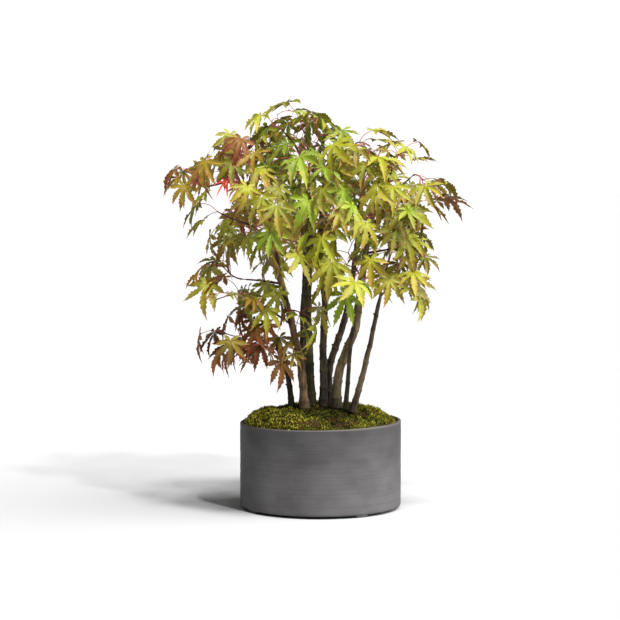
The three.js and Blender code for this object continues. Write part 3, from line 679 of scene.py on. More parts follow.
@dataclass
class Leaf:
    """A leaf: a bent stalk from a twig's node to the base of a star-shaped blade."""

    node: np.ndarray
    knee: np.ndarray
    base: np.ndarray
    middle: np.ndarray
    normal: np.ndarray
    span: float
    curl: float

    def __post_init__(self) -> None:
        """Work out the blade's third direction."""
        self.side = np.cross(self.normal, self.middle)

    def point(self, degrees: float, share: float) -> np.ndarray:
        """Return a point of the blade, by its angle and its share of the span."""
        angle = math.radians(degrees)
        outward = math.cos(angle) * self.middle + math.sin(angle) * self.side
        return self.base + self.span * (share * outward - self.curl * share**2 * self.normal)

    def blade_room(self) -> np.ndarray:
        """Return the blade's capsules: two on each lobe and one to each notch."""
        found = []
        for degrees, length in LOBES:
            waist = 0.045 * self.span * (0.5 if abs(degrees) > 90 else 1)
            middle, tip = self.point(degrees, length / 2), self.point(degrees, length)
            found.append(capsule(self.base, middle, 0.055 * self.span, waist))
            found.append(capsule(middle, tip, waist, 0.012 * self.span))
        for (first, _), (second, _) in zip(LOBES, LOBES[1:]):
            degrees = (first + second) / 2
            depth = NOTCH * (BASAL_NOTCH if abs(degrees) > 90 else 1)
            found.append(capsule(self.base, self.point(degrees, depth), 0.03 * self.span, 0.025 * self.span))
        return np.array(found)

    def stalk_room(self) -> np.ndarray:
        """Return the stalk's three capsules, the first of them next to its own twig."""
        quarter = lerp(self.node, self.knee, 0.5)
        return chain([self.node, quarter, self.knee, self.base], [STALK_ROOM] * 4)


@dataclass(frozen=True)
class Mass:
    """A mass of foliage, grown from its own stem on a limb towards where it aims."""

    name: str
    limb: str
    aim: tuple[float, float, float]
    forks: int
    pairs: int
    span: float
    droop: float
    seed: int
    tint: Tint
    share: float = 1.0
    height: float = 0.0
    sprigs: int = 2
    fine_seed: int = 1

    @property
    def node(self) -> str:
        """Return the name of the solid that this mass is."""
        return f"leaves_{self.name}"

    def start(self, limbs: dict[str, Limb]) -> tuple[np.ndarray, np.ndarray]:
        """Return where the mass's stem leaves its limb, and the limb's direction there."""
        limb = limbs[self.limb]
        return limb.at_height(self.height) if self.height else limb.at_share(self.share)

    def main_twig(self, limbs: dict[str, Limb]) -> tuple[Twig, float]:
        """Return the mass's own stem and how far it reaches."""
        start, direction = self.start(limbs)
        aim = np.array(self.aim, dtype=float)
        reach = float(np.linalg.norm(aim - start))
        from_tip = not self.height and self.share == 1
        outward = unit(unit(aim - start) + 0.2 * UP)
        guide = start + direction * 0.45 * reach if from_tip else start + outward * 0.5 * reach
        return Twig(start, guide, aim, [1, 0.87, 0.73, 0.6]), reach


# The same limbs and masses as in the solids.
STEMS = [
    StemPlan(
        "stem_far_left", (-36, -5),
        [(-39.5, -8, 158), (-48, -12, 182), (-61.5, -20, 226)],
        3.7, 2.0,
    ),
    StemPlan(
        "stem_left", (-20, -18),
        [(-24, -20, 174), (-35, -22, 226), (-51, -24, 290), (-59, -22, 366)],
        5.4, 2.6,
    ),
    StemPlan(
        "stem_middle", (-11.5, 0),
        [(-14, 0, 180), (-16, 0, 250), (-14, 0, 310), (-9, 2, 414)],
        6.0, 3.0,
    ),
    StemPlan("stem_back_left", (-15, 22), [(-23, 22, 208), (-20, 27, 300), (-27, 46, 392)], 3.5, 2.1),
    StemPlan(
        "stem_upright", (4, -6),
        [(3, -6, 200), (5, -6, 250), (0, -9, 330), (6, -20, 420)],
        5.0, 2.4,
    ),
    StemPlan(
        "stem_back_right", (10.7, 15),
        [(12, 17, 172), (30, 28, 228), (44, 44, 305), (50, 62, 380)],
        4.8, 2.4,
    ),
    StemPlan(
        "stem_right", (19.5, -14),
        [(24, -14, 172), (44, -14, 225), (53, -14, 300), (69, -12, 385)],
        6.0, 2.6,
    ),
    StemPlan("stem_front_right", (31, -26), [(35, -28, 176), (40, -31, 225), (48, -38, 280)], 3.0, 1.7),
    StemPlan("stem_far_right", (39, -34), [(52, -36, 168), (65, -36, 224), (75, -36, 272)], 4.0, 2.2),
]
BOUGHS = [
    BoughPlan(
        "bough_low_left", "stem_far_left", 160,
        [(-43, -14, 187), (-56, -26, 206), (-77, -42, 209)],
        1.8, 1.1,
    ),
    BoughPlan("bough_left_level", "stem_left", 277, [(-75, -26, 281), (-96, -30, 283)], 1.5, 0.9),
    BoughPlan("bough_left_rising", "stem_left", 226, [(-58, -40, 243), (-86, -56, 262)], 1.5, 0.9),
    BoughPlan("bough_left_mid", "stem_left", 322, [(-80, -34, 346), (-104, -38, 356)], 1.5, 0.9),
    BoughPlan(
        "bough_high_left", "stem_left", 345,
        [(-84, -34, 392), (-108, -36, 402), (-140, -36, 396)],
        2.0, 1.2,
    ),
    BoughPlan("bough_high_left_back", "stem_back_left", 350, [(-60, 60, 392), (-92, 66, 412)], 1.7, 1.0),
    BoughPlan("bough_top_left", "stem_middle", 385, [(-28, -6, 440), (-46, -12, 464)], 1.9, 1.1),
    BoughPlan("bough_top_right", "stem_upright", 380, [(20, -24, 425), (42, -26, 448)], 2.0, 1.1),
    BoughPlan("bough_right_high", "stem_right", 352, [(82, -8, 400), (90, -4, 424)], 2.0, 1.1),
    BoughPlan("bough_right_tip", "stem_right", 340, [(90, -30, 388), (112, -44, 410)], 1.6, 0.9),
    BoughPlan("bough_right_level", "stem_right", 314, [(78, -20, 318), (92, -26, 321)], 1.6, 1.0),
    BoughPlan("bough_back", "stem_back_left", 300, [(-6, 62, 330), (4, 88, 350)], 1.7, 1.0),
    BoughPlan("bough_back_right", "stem_back_right", 300, [(72, 66, 330), (98, 80, 350)], 1.8, 1.0),
    BoughPlan("bough_front_left", "stem_left", 300, [(-54, -56, 336), (-50, -82, 354)], 1.6, 1.0),
    BoughPlan("bough_front", "stem_upright", 318, [(10, -42, 346), (18, -72, 362)], 1.7, 1.0),
]
MASSES = [
    Mass(
        "left_tip", "bough_high_left", (-152, -36, 410),
        0, 2, 36, 65, 3256, Tint.BRONZE, share=1, sprigs=2, fine_seed=155,
    ),
    Mass(
        "left_tip_inner", "bough_high_left", (-115, -47, 435),
        1, 1, 40, 45, 3453, Tint.BRONZE, share=0.62, sprigs=3, fine_seed=190,
    ),
    Mass(
        "top_left", "bough_top_left", (-69, -12, 469),
        0, 2, 40, 35, 2855, Tint.LIME, share=1, sprigs=2, fine_seed=206,
    ),
    Mass(
        "top", "stem_middle", (-22, -5, 466),
        1, 1, 42, 25, 4748, Tint.FRESH, share=1, sprigs=1, fine_seed=103,
    ),
    Mass(
        "top_back", "stem_middle", (4, 31, 449),
        1, 1, 42, 50, 4896, Tint.FRESH, share=0.93, sprigs=3, fine_seed=88,
    ),
    Mass(
        "top_right", "bough_top_right", (60, -26, 446),
        0, 2, 42, 30, 1958, Tint.OLIVE, share=1, sprigs=2, fine_seed=172,
    ),
    Mass(
        "right_high", "bough_right_high", (103, 1, 440),
        0, 2, 32, 15, 7030, Tint.OLIVE, share=1, sprigs=2, fine_seed=206,
    ),
    Mass(
        "right_tip", "bough_right_tip", (124, -48, 405),
        0, 1, 45, 30, 7306, Tint.OLIVE, share=1, sprigs=3, fine_seed=122,
    ),
    Mass(
        "right_mid", "stem_far_right", (98, -22, 350),
        1, 1, 38, 50, 9, Tint.LIME, share=1, sprigs=3, fine_seed=156,
    ),
    Mass(
        "right_low_tip", "bough_right_level", (114, -30, 322),
        0, 2, 34, 25, 8657, Tint.OLIVE, share=1, sprigs=3, fine_seed=122,
    ),
    Mass(
        "right_low", "stem_far_right", (97, -51, 287),
        1, 1, 39, 50, 5781, Tint.OLIVE, share=0.93, sprigs=3, fine_seed=37,
    ),
    Mass(
        "centre_low_right", "stem_front_right", (32, -63, 302),
        1, 1, 44, 60, 5207, Tint.LIME, share=1, sprigs=2, fine_seed=172,
    ),
    Mass(
        "centre_star", "stem_left", (-25, -42, 243),
        0, 0, 46, 60, 8333, Tint.LIME, height=244, sprigs=3, fine_seed=139,
    ),
    Mass(
        "front_mid", "bough_front", (14, -92, 360),
        1, 1, 42, 70, 4023, Tint.LIME, share=1, sprigs=2, fine_seed=19,
    ),
    Mass(
        "front_left", "bough_front_left", (-54, -100, 344),
        1, 1, 43, 65, 9773, Tint.LIME, share=1, sprigs=2, fine_seed=172,
    ),
    Mass(
        "left_mid", "bough_left_mid", (-126, -35, 366),
        0, 2, 40, 65, 6793, Tint.LIME, share=1, sprigs=2, fine_seed=172,
    ),
    Mass(
        "left_mid_inner", "bough_left_mid", (-90, -61, 336),
        0, 2, 40, 60, 9285, Tint.OLIVE, share=0.6, sprigs=3, fine_seed=156,
    ),
    Mass(
        "left_level", "bough_left_level", (-120, -34, 300),
        0, 2, 40, 60, 5340, Tint.OLIVE, share=1, sprigs=3, fine_seed=173,
    ),
    Mass(
        "left_low_mid", "bough_left_rising", (-127, -61, 260),
        0, 2, 38, 50, 6375, Tint.BRONZE, share=1, sprigs=3, fine_seed=156,
    ),
    Mass(
        "left_low_inner", "stem_far_left", (-74, -41, 255),
        1, 1, 40, 60, 6209, Tint.OLIVE, share=1, sprigs=3, fine_seed=207,
    ),
    Mass(
        "left_low_tip", "bough_low_left", (-118, -44, 218),
        0, 2, 38, 60, 6310, Tint.RUSSET, share=1, sprigs=3, fine_seed=54,
    ),
    Mass(
        "left_low_hang", "bough_low_left", (-89, -66, 216),
        0, 1, 34, 75, 446, Tint.RUSSET, share=0.8, sprigs=3, fine_seed=88,
    ),
    Mass(
        "left_low_red", "stem_far_left", (-60, -31, 201),
        0, 1, 38, 50, 4623, Tint.RUSSET, height=188, sprigs=3, fine_seed=139,
    ),
    Mass(
        "crown_front_left", "bough_front_left", (-75, -84, 380),
        1, 1, 42, 40, 8901, Tint.OLIVE, share=0.55, sprigs=2, fine_seed=189,
    ),
    Mass(
        "crown_front_right", "stem_right", (55, -66, 368),
        1, 1, 44, 45, 7233, Tint.LIME, height=352, sprigs=3, fine_seed=173,
    ),
    Mass(
        "crown_front_mid", "stem_middle", (-20, -48, 424),
        1, 1, 42, 45, 1541, Tint.FRESH, height=396, sprigs=3, fine_seed=156,
    ),
    Mass(
        "crown_mid_right", "stem_right", (98, -37, 405),
        1, 1, 42, 40, 6111, Tint.FRESH, share=1, sprigs=3, fine_seed=71,
    ),
    Mass(
        "back_left_high", "bough_high_left_back", (-116, 73, 423),
        1, 1, 38, 55, 720, Tint.BRONZE, share=1, sprigs=1, fine_seed=103,
    ),
    Mass(
        "back_left", "stem_back_left", (-70, 81, 335),
        1, 1, 42, 55, 4324, Tint.OLIVE, height=320, sprigs=2, fine_seed=104,
    ),
    Mass(
        "back_mid", "bough_back", (2, 116, 346),
        1, 1, 42, 35, 4172, Tint.FRESH, share=1, sprigs=3, fine_seed=54,
    ),
    Mass(
        "back_top", "stem_back_left", (-37, 75, 428),
        1, 1, 42, 40, 6781, Tint.LIME, share=1, sprigs=3, fine_seed=122,
    ),
    Mass(
        "back_right", "bough_back_right", (108, 88, 349),
        1, 1, 38, 70, 2275, Tint.OLIVE, share=1, sprigs=2, fine_seed=206,
    ),
    Mass(
        "back_right_high", "stem_back_right", (60, 80, 418),
        1, 1, 42, 40, 33, Tint.LIME, share=1, sprigs=3, fine_seed=190,
    ),
]


@dataclass(frozen=True)
class Clearing:
    """A place where the crown is open from front to back, by its centre and radius."""

    x: float
    z: float
    radius: float

    def holds(self, leaf: Leaf) -> bool:
        """Tell whether the middle of a leaf is in the clearing."""
        middle = leaf.base + leaf.middle * leaf.span * 0.4
        return math.hypot(middle[0] - self.x, middle[2] - self.z) < self.radius


CLEARINGS = [
    Clearing(-124, 359, 16),
    Clearing(-108, 303, 9),
    Clearing(-126, 244, 10),
    Clearing(41, 326, 8),
    Clearing(22, 321, 6),
    Clearing(-64, 296, 8),
    Clearing(-167, 417, 7),
    Clearing(-121, 232, 5),
    Clearing(-155, 309, 5),
    Clearing(-89, 467, 5),
    Clearing(123, 450, 4),
]


def in_clearing(leaf: Leaf) -> bool:
    """Tell whether a leaf is in any clearing."""
    return any(clearing.holds(leaf) for clearing in CLEARINGS)


@dataclass(frozen=True)
class Bud:
    """A place on a twig that bears a leaf."""

    node: np.ndarray
    along: np.ndarray
    aside: np.ndarray


@dataclass
class Growth:
    """What has grown of one mass: its stem, side twigs, buds and leaves."""

    mass: Mass
    twig: Twig
    reach: float
    draws: Draws
    sides: list[Twig] = field(default_factory=list)
    buds: list[Bud] = field(default_factory=list)
    leaves: list[Leaf] = field(default_factory=list)
    sprigs: list[Twig] = field(default_factory=list)

    def grow_sides(self, room: Room) -> None:
        """Grow side twigs in pairs, each pair turned a quarter from the last, and the buds."""
        steps = self.mass.forks + self.mass.pairs + 1
        first_turn = self.draws.between(0, math.pi)
        for step in range(steps):
            last = step == steps - 1
            node, along = self.twig.at(1 if last else 0.35 + 0.65 * step / steps)
            turn = first_turn + step * math.pi / 2 + self.draws.between(-0.3, 0.3)
            first, second = across(along)
            aside = first * math.cos(turn) + second * math.sin(turn)
            if step < self.mass.forks:
                for sign in (1, -1):
                    self.grow_side(node, unit(0.75 * along + 0.75 * sign * aside + 0.1 * UP), turn, room)
                continue
            self.buds += [Bud(node, along, aside), Bud(node, along, -aside)]
            if last and self.draws.next() < 0.7:
                self.buds.append(Bud(node, along, along))

    def grow_side(self, node: np.ndarray, outward: np.ndarray, turn: float, room: Room) -> None:
        """Grow one side twig with its buds, where there is room for it."""
        length = self.reach * self.draws.between(0.45, 0.6) + 10
        ends_in_leaf = self.draws.next() < 0.6
        end = node + outward * length
        guide = node + outward * length / 2 + UP * 0.06 * length
        side = Twig(node, guide, end, [0.75, 0.62, 0.5])
        taken = chain(side.points, side.radii)
        taken[0, 0:3] = lerp(taken[0, 0:3], taken[0, 3:6], 0.3)
        if not room.is_clear(taken):
            return
        room.add(taken, f"{self.mass.name} twigs")
        self.sides.append(side)
        left, right = across(outward)
        fan = left * math.cos(turn + 1.2) + right * math.sin(turn + 1.2)
        self.buds += [Bud(end, outward, fan), Bud(end, outward, -fan)]
        if ends_in_leaf:
            self.buds.append(Bud(end, outward, outward))

    def grow_leaf(
        self, bud: Bud, room: Room, span: float, droop: float, tries: int = 9
    ) -> Leaf | None:
        """Draw a leaf at a bud until it finds room, or give it up.

        Args:
            bud: Where it grows.
            room: The room already taken.
            span: The leaf's usual length.
            droop: How far it usually hangs, in degrees.
            tries: How often it is drawn.

        Returns:
            The leaf, or None.
        """
        name = self.mass.name
        own = (name, f"{name} twigs", f"{name} roots")
        for _ in range(tries):
            leaf = self.draw_leaf(bud, span, droop)
            blade, stalk = leaf.blade_room(), leaf.stalk_room()
            high = min(blade[:, 2].min(), blade[:, 5].min()) >= LOWEST_LEAF
            if high and room.is_clear(np.concatenate([blade, stalk[1:]])) and room.is_clear(stalk[:1], own):
                room.add(np.concatenate([blade, stalk[1:]]), name)
                room.add(stalk[:1], f"{name} roots")
                return leaf
        return None

    def draw_leaf(self, bud: Bud, span: float, droop: float) -> Leaf:
        """Return one leaf as the draws turn it, whether or not there is room for it."""
        draws = self.draws
        size = span * draws.between(0.82, 1.12)
        stalk = size * draws.between(0.55, 0.95)
        lift = draws.between(-0.15, 0.35)
        yaw = draws.between(-0.5, 0.5)
        roll = draws.between(-0.6, 0.6)
        hang = math.radians(droop + draws.between(-28, 28))
        curl = draws.between(0.1, 0.32)
        rising = unit(bud.along * 0.55 + bud.aside * 0.8 + UP * lift)
        falling = unit(rising - UP * 0.45)
        knee = bud.node + rising * stalk / 2
        base = knee + falling * stalk / 2
        level = vec(falling[0], falling[1], 0)
        if level @ level < 0.01:
            level = vec(bud.aside[0] + 1e-3, bud.aside[1], 0)
        x, y, _ = unit(level)
        cosine, sine = math.cos(yaw), math.sin(yaw)
        level = vec(x * cosine - y * sine, x * sine + y * cosine, 0)
        middle = level * math.cos(hang) - UP * math.sin(hang)
        flat = level * math.sin(hang) + UP * math.cos(hang)
        normal = flat * math.cos(roll) + np.cross(flat, middle) * math.sin(roll)
        return Leaf(bud.node, knee, base, middle, normal, size, curl)

    def grow_sprigs(self, room: Room) -> None:
        """Carry the mass on to finer twigs, each with a pair of smaller, more level leaves."""
        self.draws = Draws(self.mass.fine_seed)
        for host in (self.twig, *self.sides):
            for _ in range(self.mass.sprigs):
                node, along = host.at(self.draws.between(0.25, 0.95))
                turn = self.draws.between(0, 2 * math.pi)
                first, second = across(along)
                aside = first * math.cos(turn) + second * math.sin(turn)
                outward = unit(0.5 * along + 0.8 * aside + 0.15 * UP)
                length = self.draws.between(9, 20)
                tip = node + outward * length
                sprig = Twig(node, node + outward * length / 2 + UP, tip, [0.5, 0.42, 0.35])
                fan = unit(np.cross(outward, UP) + 0.01 * first)
                span = self.mass.span * self.draws.between(0.6, 0.9)
                droop = self.mass.droop - self.draws.between(0, 40)
                buds = [Bud(tip, outward, fan), Bud(tip, outward, -fan)]
                found = (self.grow_leaf(bud, room, span, droop, tries=4) for bud in buds)
                grown = [leaf for leaf in found if leaf]
                if grown:
                    self.sprigs.append(sprig)
                    self.leaves += grown


class Plant:
    """The whole plant's lines: its limbs, twigs and leaves."""

    def __init__(self, mound: Mound) -> None:
        """Grow all masses together: first their stems, then side twigs, leaves and sprigs."""
        self.mound = mound
        self.limbs = {plan.name: plan.grow(mound) for plan in STEMS}
        self.limbs |= {plan.name: plan.grow(self.limbs) for plan in BOUGHS}
        room = Room()
        for limb in self.limbs.values():
            room.add(limb.room(), limb.name)
        self.growths = [Growth(mass, *mass.main_twig(self.limbs), Draws(mass.seed)) for mass in MASSES]
        for growth in self.growths:
            room.add(chain(growth.twig.points, growth.twig.radii), f"{growth.mass.name} twigs")
        for growth in self.growths:
            growth.grow_sides(room)
        for growth in self.growths:
            mass = growth.mass
            found = (growth.grow_leaf(bud, room, mass.span, mass.droop) for bud in growth.buds)
            growth.leaves = [leaf for leaf in found if leaf]
        LOG.info("leaves as in the solids: %d", sum(len(growth.leaves) for growth in self.growths))
        for growth in self.growths:
            growth.leaves = [leaf for leaf in growth.leaves if not in_clearing(leaf)]
            growth.grow_sprigs(room)
        LOG.info("leaves in all: %d", sum(len(growth.leaves) for growth in self.growths))


# ------------------------------------------------------------------ pot, soil and moss


@dataclass(frozen=True)
class Pot:
    """A straight-sided round pot on four low feet, its hand-made rim a little uneven."""

    radius: float = 100.0
    height: float = 105.0
    wall: float = 4.5
    floor: float = 7.0
    corner: float = 2.5
    lip: float = 1.6
    rim_slope: float = 0.0155
    feet: int = 4
    first_foot: float = -59.0
    foot_width: float = 9.0
    foot_outer: float = 98.0
    foot_inner: float = 86.0
    foot_height: float = 3.0
    segments: int = 144

    def profile(self) -> np.ndarray:
        """Return the section from the underside's centre, over the rim, to the floor's."""
        inside = self.radius - self.wall
        rows = [(0.0, 0.0)]
        rows += self.arc(self.radius - self.corner, self.corner, self.corner, -90, 0)
        rows += [(self.radius, height) for height in np.linspace(8, self.height - 6, 30)]
        rows += self.arc(self.radius - self.lip, self.height - self.lip, self.lip, 0, 90)
        rows += self.arc(inside + self.lip, self.height - self.lip, self.lip, 90, 180)
        rows += [(inside, self.height - 8), (inside, self.floor), (0.0, self.floor)]
        return np.array(rows)

    @staticmethod
    def arc(x: float, z: float, radius: float, start: float, end: float) -> list[tuple[float, float]]:
        """Return seven points on a part of a circle, between two angles in degrees."""
        angles = np.radians(np.linspace(start, end, 7))
        return [(x + radius * math.cos(a), z + radius * math.sin(a)) for a in angles]

    def lathe(self) -> tuple[np.ndarray, np.ndarray]:
        """Return the pot's vertices and triangles."""
        profile = self.profile()
        angles = np.linspace(0, 2 * math.pi, self.segments, endpoint=False)
        radii, heights = profile[:, :1], profile[:, 1:]
        x, y = radii * np.cos(angles), radii * np.sin(angles)
        turning = 0.12 * np.sin(heights * 1.9 + 2.0 * np.sin(heights * 0.23))
        outside = (np.arange(len(profile)) < len(profile) - 10)[:, None] & (heights > 6)
        grow = 1 + np.where(outside, turning, 0.0) / np.maximum(radii, 1)
        z = heights + self.rim_slope * x * np.clip(2 * heights / self.height - 1, 0, 1)
        points = np.stack([x * grow, y * grow, np.broadcast_to(z, x.shape)], axis=2)
        return points.reshape(-1, 3), ring_faces(len(profile), self.segments)

    def foot(self, index: int) -> tuple[np.ndarray, np.ndarray]:
        """Return one foot: a short bow of clay under the floor."""
        middle = math.radians(self.first_foot) + index * 2 * math.pi / self.feet
        half = math.radians(self.foot_width) / 2
        rows = []
        for angle in np.linspace(middle - half, middle + half, 7):
            for radius, z in (
                (self.foot_outer, 0.5),
                (self.foot_outer - 0.4, -self.foot_height + 0.4),
                (self.foot_outer - 0.9, -self.foot_height),
                (self.foot_inner, -self.foot_height),
                (self.foot_inner, 0.5),
            ):
                rows.append((radius * math.cos(angle), radius * math.sin(angle), z))
        faces = ring_faces(7, 5)
        ends = [[0, 2, 1], [0, 3, 2], [0, 4, 3]]
        caps = np.array(ends + [[30 + a, 30 + c, 30 + b] for a, b, c in ends])
        return np.array(rows), np.concatenate([faces, caps])

    def make(self, finish: Stoneware) -> bpy.types.Object:
        """Make the pot."""
        maker = MeshMaker()
        maker.add(*self.lathe())
        for index in range(self.feet):
            maker.add(*self.foot(index))
        piece = maker.build("pot_stoneware", [finish.material()])
        return dress(piece, "stoneware", "pot")


@dataclass(frozen=True)
class Soil:
    """The dome of soil under the moss: lumpy, with dry brown patches."""

    pot: Pot
    mound: Mound
    rings: int = 70
    sides: int = 180
    lump: float = 0.8
    lump_pitch: float = 9.0
    swell: float = 6.5

    def height(self, x: float, y: float) -> float:
        """Return the lumpy soil's height over a point."""
        lumps = self.lump * math.sin(x / self.lump_pitch) * math.cos(y / self.lump_pitch)
        return self.mound.height(x, y) + lumps + self.swell * self.cover(x, y)

    @staticmethod
    def cover(x: float, y: float) -> float:
        """Return how the moss swells over a point: above zero on its cushions. It dips at the front and
        round the stems' feet, and the dark tufts there are painted shade.
        """
        nearest = min(math.hypot(x - plan.foot[0], y - plan.foot[1]) for plan in STEMS)
        fine = noise.fractal(Vector((x / 11, y / 11, 3.7)), 0.8, 2.3, 3) * 0.5
        broad = noise.noise(Vector((x / 34, y / 34, 79.28))) * 0.5
        # Painted shade: a dip at the front and round the stems' feet, where the stems and crown shade the
        # moss, lowers it and fills it with dark tufts.
        painted_shadow_dip = 0.7 * math.exp(-(math.hypot(x - 16, y + 52) ** 2) / 500)
        return fine + broad - painted_shadow_dip - 0.9 * math.exp(-nearest / 14)

    @staticmethod
    def dryness(x: float, y: float) -> float:
        """Return how dry the moss is over a point: most of all in patches along the rim."""
        rim = max(math.hypot(x, y) - 80, 0) / 14
        return noise.fractal(Vector((x / 26, y / 26, 9.2)), 0.7, 2.1, 3) + 0.3 * rim

    def surface(self) -> tuple[np.ndarray, np.ndarray]:
        """Return the dome's vertices and triangles, down to the pot's wall."""
        edge = self.pot.radius - self.pot.wall - 0.2
        points = [(edge * c, edge * s, 96.0) for c, s in self.circle()]
        points += [(edge * c, edge * s, 99.6 + 1.55 * c) for c, s in self.circle()]
        for ring in range(self.rings):
            radius = self.mound.radius * (1 - (ring / self.rings) ** 1.4)
            for c, s in self.circle():
                points.append((radius * c, radius * s, self.height(radius * c, radius * s)))
        return np.array(points), ring_faces(self.rings + 2, self.sides)

    def circle(self) -> list[tuple[float, float]]:
        """Return the cosine and sine of each side's angle."""
        angles = np.linspace(0, 2 * math.pi, self.sides, endpoint=False)
        return list(zip(np.cos(angles), np.sin(angles)))

    def make(self, finish: SoilCover) -> bpy.types.Object:
        """Make the dome of soil."""
        maker = MeshMaker()
        maker.add(*self.surface())
        piece = maker.build("soil_dome", [finish.material()])
        for name, rule in (("cover", self.cover), ("dryness", self.dryness)):
            layer = piece.data.attributes.new(name, "FLOAT", "POINT")
            layer.data.foreach_set("value", [rule(v.co.x / MM, v.co.y / MM) for v in piece.data.vertices])
        return dress(piece, "moss", "mossy_soil")


@dataclass(frozen=True)
class MossTufts:
    """Small tufts of one shade, strewn over the soil by a Geometry Nodes group."""

    name: str
    finish: Plain
    blades: int
    blade_length: float
    blade_width: float
    spread: float
    density: float
    pattern: str
    low: float
    high: float
    seed: int

    def tuft(self) -> bpy.types.Object:
        """Return one tuft: a few narrow blades that lean outwards from one point."""
        draws = Draws(self.seed)
        maker = MeshMaker()
        for index in range(self.blades):
            angle = index * 2.4 + draws.between(-0.3, 0.3)
            lean = self.spread * draws.between(0.3, 1.0)
            out = vec(math.cos(angle), math.sin(angle), 0)
            aside = vec(-out[1], out[0], 0)
            up = self.blade_length * draws.between(0.7, 1.1)
            waist = out * lean * 0.4 + UP * up * 0.55
            tip = out * lean + UP * up
            half = aside * self.blade_width / 2
            rows = np.array([out * 0.1, waist - half, waist + half, tip])
            maker.add(rows, np.array([[0, 2, 1], [1, 2, 3]]))
        tuft = maker.build(f"{self.name}_tuft", [self.finish.material()])
        tuft.hide_render = True
        return tuft

    def group(self, tuft: bpy.types.Object) -> bpy.types.NodeTree:
        """Return the node group that strews tufts over a surface.

        Args:
            tuft: The tuft to strew.

        Returns:
            The group, with named inputs for how it strews.
        """
        tree = bpy.data.node_groups.new(f"{self.name}_strew", "GeometryNodeTree")
        face = tree.interface
        face.new_socket("Surface", in_out="INPUT", socket_type="NodeSocketGeometry")
        for label in ("Density", "Low", "High"):
            face.new_socket(label, in_out="INPUT", socket_type="NodeSocketFloat")
        face.new_socket("Pattern", in_out="INPUT", socket_type="NodeSocketString")
        face.new_socket("Seed", in_out="INPUT", socket_type="NodeSocketInt")
        face.new_socket("Tufts", in_out="OUTPUT", socket_type="NodeSocketGeometry")
        add = tree.nodes.new
        link = tree.links.new
        entry, result = add("NodeGroupInput"), add("NodeGroupOutput")
        pattern = add("GeometryNodeInputNamedAttribute")
        pattern.data_type = "FLOAT"
        link(entry.outputs["Pattern"], pattern.inputs["Name"])
        above, below = add("FunctionNodeCompare"), add("FunctionNodeCompare")
        above.operation, below.operation = "GREATER_THAN", "LESS_THAN"
        link(pattern.outputs["Attribute"], above.inputs["A"])
        link(entry.outputs["Low"], above.inputs["B"])
        link(pattern.outputs["Attribute"], below.inputs["A"])
        link(entry.outputs["High"], below.inputs["B"])
        inside = add("FunctionNodeBooleanMath")
        link(above.outputs["Result"], inside.inputs[0])
        link(below.outputs["Result"], inside.inputs[1])
        scatter = add("GeometryNodeDistributePointsOnFaces")
        link(entry.outputs["Surface"], scatter.inputs["Mesh"])
        link(inside.outputs["Boolean"], scatter.inputs["Selection"])
        link(entry.outputs["Density"], scatter.inputs["Density"])
        link(entry.outputs["Seed"], scatter.inputs["Seed"])
        source = add("GeometryNodeObjectInfo")
        source.inputs["Object"].default_value = tuft
        turn, grow = add("FunctionNodeRandomValue"), add("FunctionNodeRandomValue")
        turn.data_type, grow.data_type = "FLOAT_VECTOR", "FLOAT"
        turn.inputs[0].default_value, turn.inputs[1].default_value = (-0.5, -0.5, 0), (0.5, 0.5, 6.28)
        grow.inputs[2].default_value, grow.inputs[3].default_value = 0.6, 1.25
        link(entry.outputs["Seed"], turn.inputs["Seed"])
        link(entry.outputs["Seed"], grow.inputs["Seed"])
        place = add("GeometryNodeInstanceOnPoints")
        link(scatter.outputs["Points"], place.inputs["Points"])
        link(source.outputs["Geometry"], place.inputs["Instance"])
        link(turn.outputs["Value"], place.inputs["Rotation"])
        link(grow.outputs[1], place.inputs["Scale"])
        real, paint = add("GeometryNodeRealizeInstances"), add("GeometryNodeSetMaterial")
        paint.inputs["Material"].default_value = tuft.data.materials[0]
        link(place.outputs["Instances"], real.inputs["Geometry"])
        link(real.outputs["Geometry"], paint.inputs["Geometry"])
        link(paint.outputs["Geometry"], result.inputs["Tufts"])
        return tree

    def make(self, soil: bpy.types.Object) -> bpy.types.Object:
        """Strew the tufts over the soil and keep them as a mesh.

        Args:
            soil: The dome they grow on.

        Returns:
            The finished piece.
        """
        tuft = self.tuft()
        tree = self.group(tuft)
        carrier = bpy.data.objects.new(f"{self.name}_carrier", soil.data.copy())
        bpy.context.scene.collection.objects.link(carrier)
        strew = carrier.modifiers.new("strew", "NODES")
        strew.node_group = tree
        values = {"Density": self.density, "Pattern": self.pattern, "Low": self.low, "High": self.high}
        values["Seed"] = self.seed
        for item in tree.interface.items_tree:
            if item.in_out == "INPUT" and item.name in values:
                strew[item.identifier] = values[item.name]
        graph = bpy.context.evaluated_depsgraph_get()
        mesh = bpy.data.meshes.new_from_object(carrier.evaluated_get(graph))
        mesh.name = self.name
        carrier.modifiers.remove(strew)
        bpy.data.objects.remove(carrier)
        bpy.data.objects.remove(tuft)
        piece = bpy.data.objects.new(self.name, mesh)
        bpy.context.scene.collection.objects.link(piece)
        return dress(piece, "moss", "mossy_soil")


@dataclass(frozen=True)
class SoilCover:
    """Moss seen from a little way off: green with dry brown patches and dark hollows."""

    green: Colour = linear(0x45480F)
    dark: Colour = linear(0x121405)
    dry: Colour = linear(0x4E3A22)

    def material(self) -> bpy.types.Material:
        """Return the finished material."""
        shader = Shader("soil_cover", roughness=0.95, specular=0.1)
        fine = shader.noise((420.0, 420.0, 420.0), detail=4.0)
        broad = shader.noise((34.0, 34.0, 34.0), detail=3.0)
        moss = shader.ramp(fine, [(0.35, self.dark), (0.62, self.green)])
        dry = shader.ramp(fine, [(0.3, self.dark), (0.7, self.dry)])
        share = shader.ramp(broad, [(0.52, (0.0, 0.0, 0.0)), (0.6, (1.0, 1.0, 1.0))])
        shader.colour(shader.mix(share, moss, dry))
        shader.bump(fine, depth=0.0015, strength=0.8)
        return shader.material


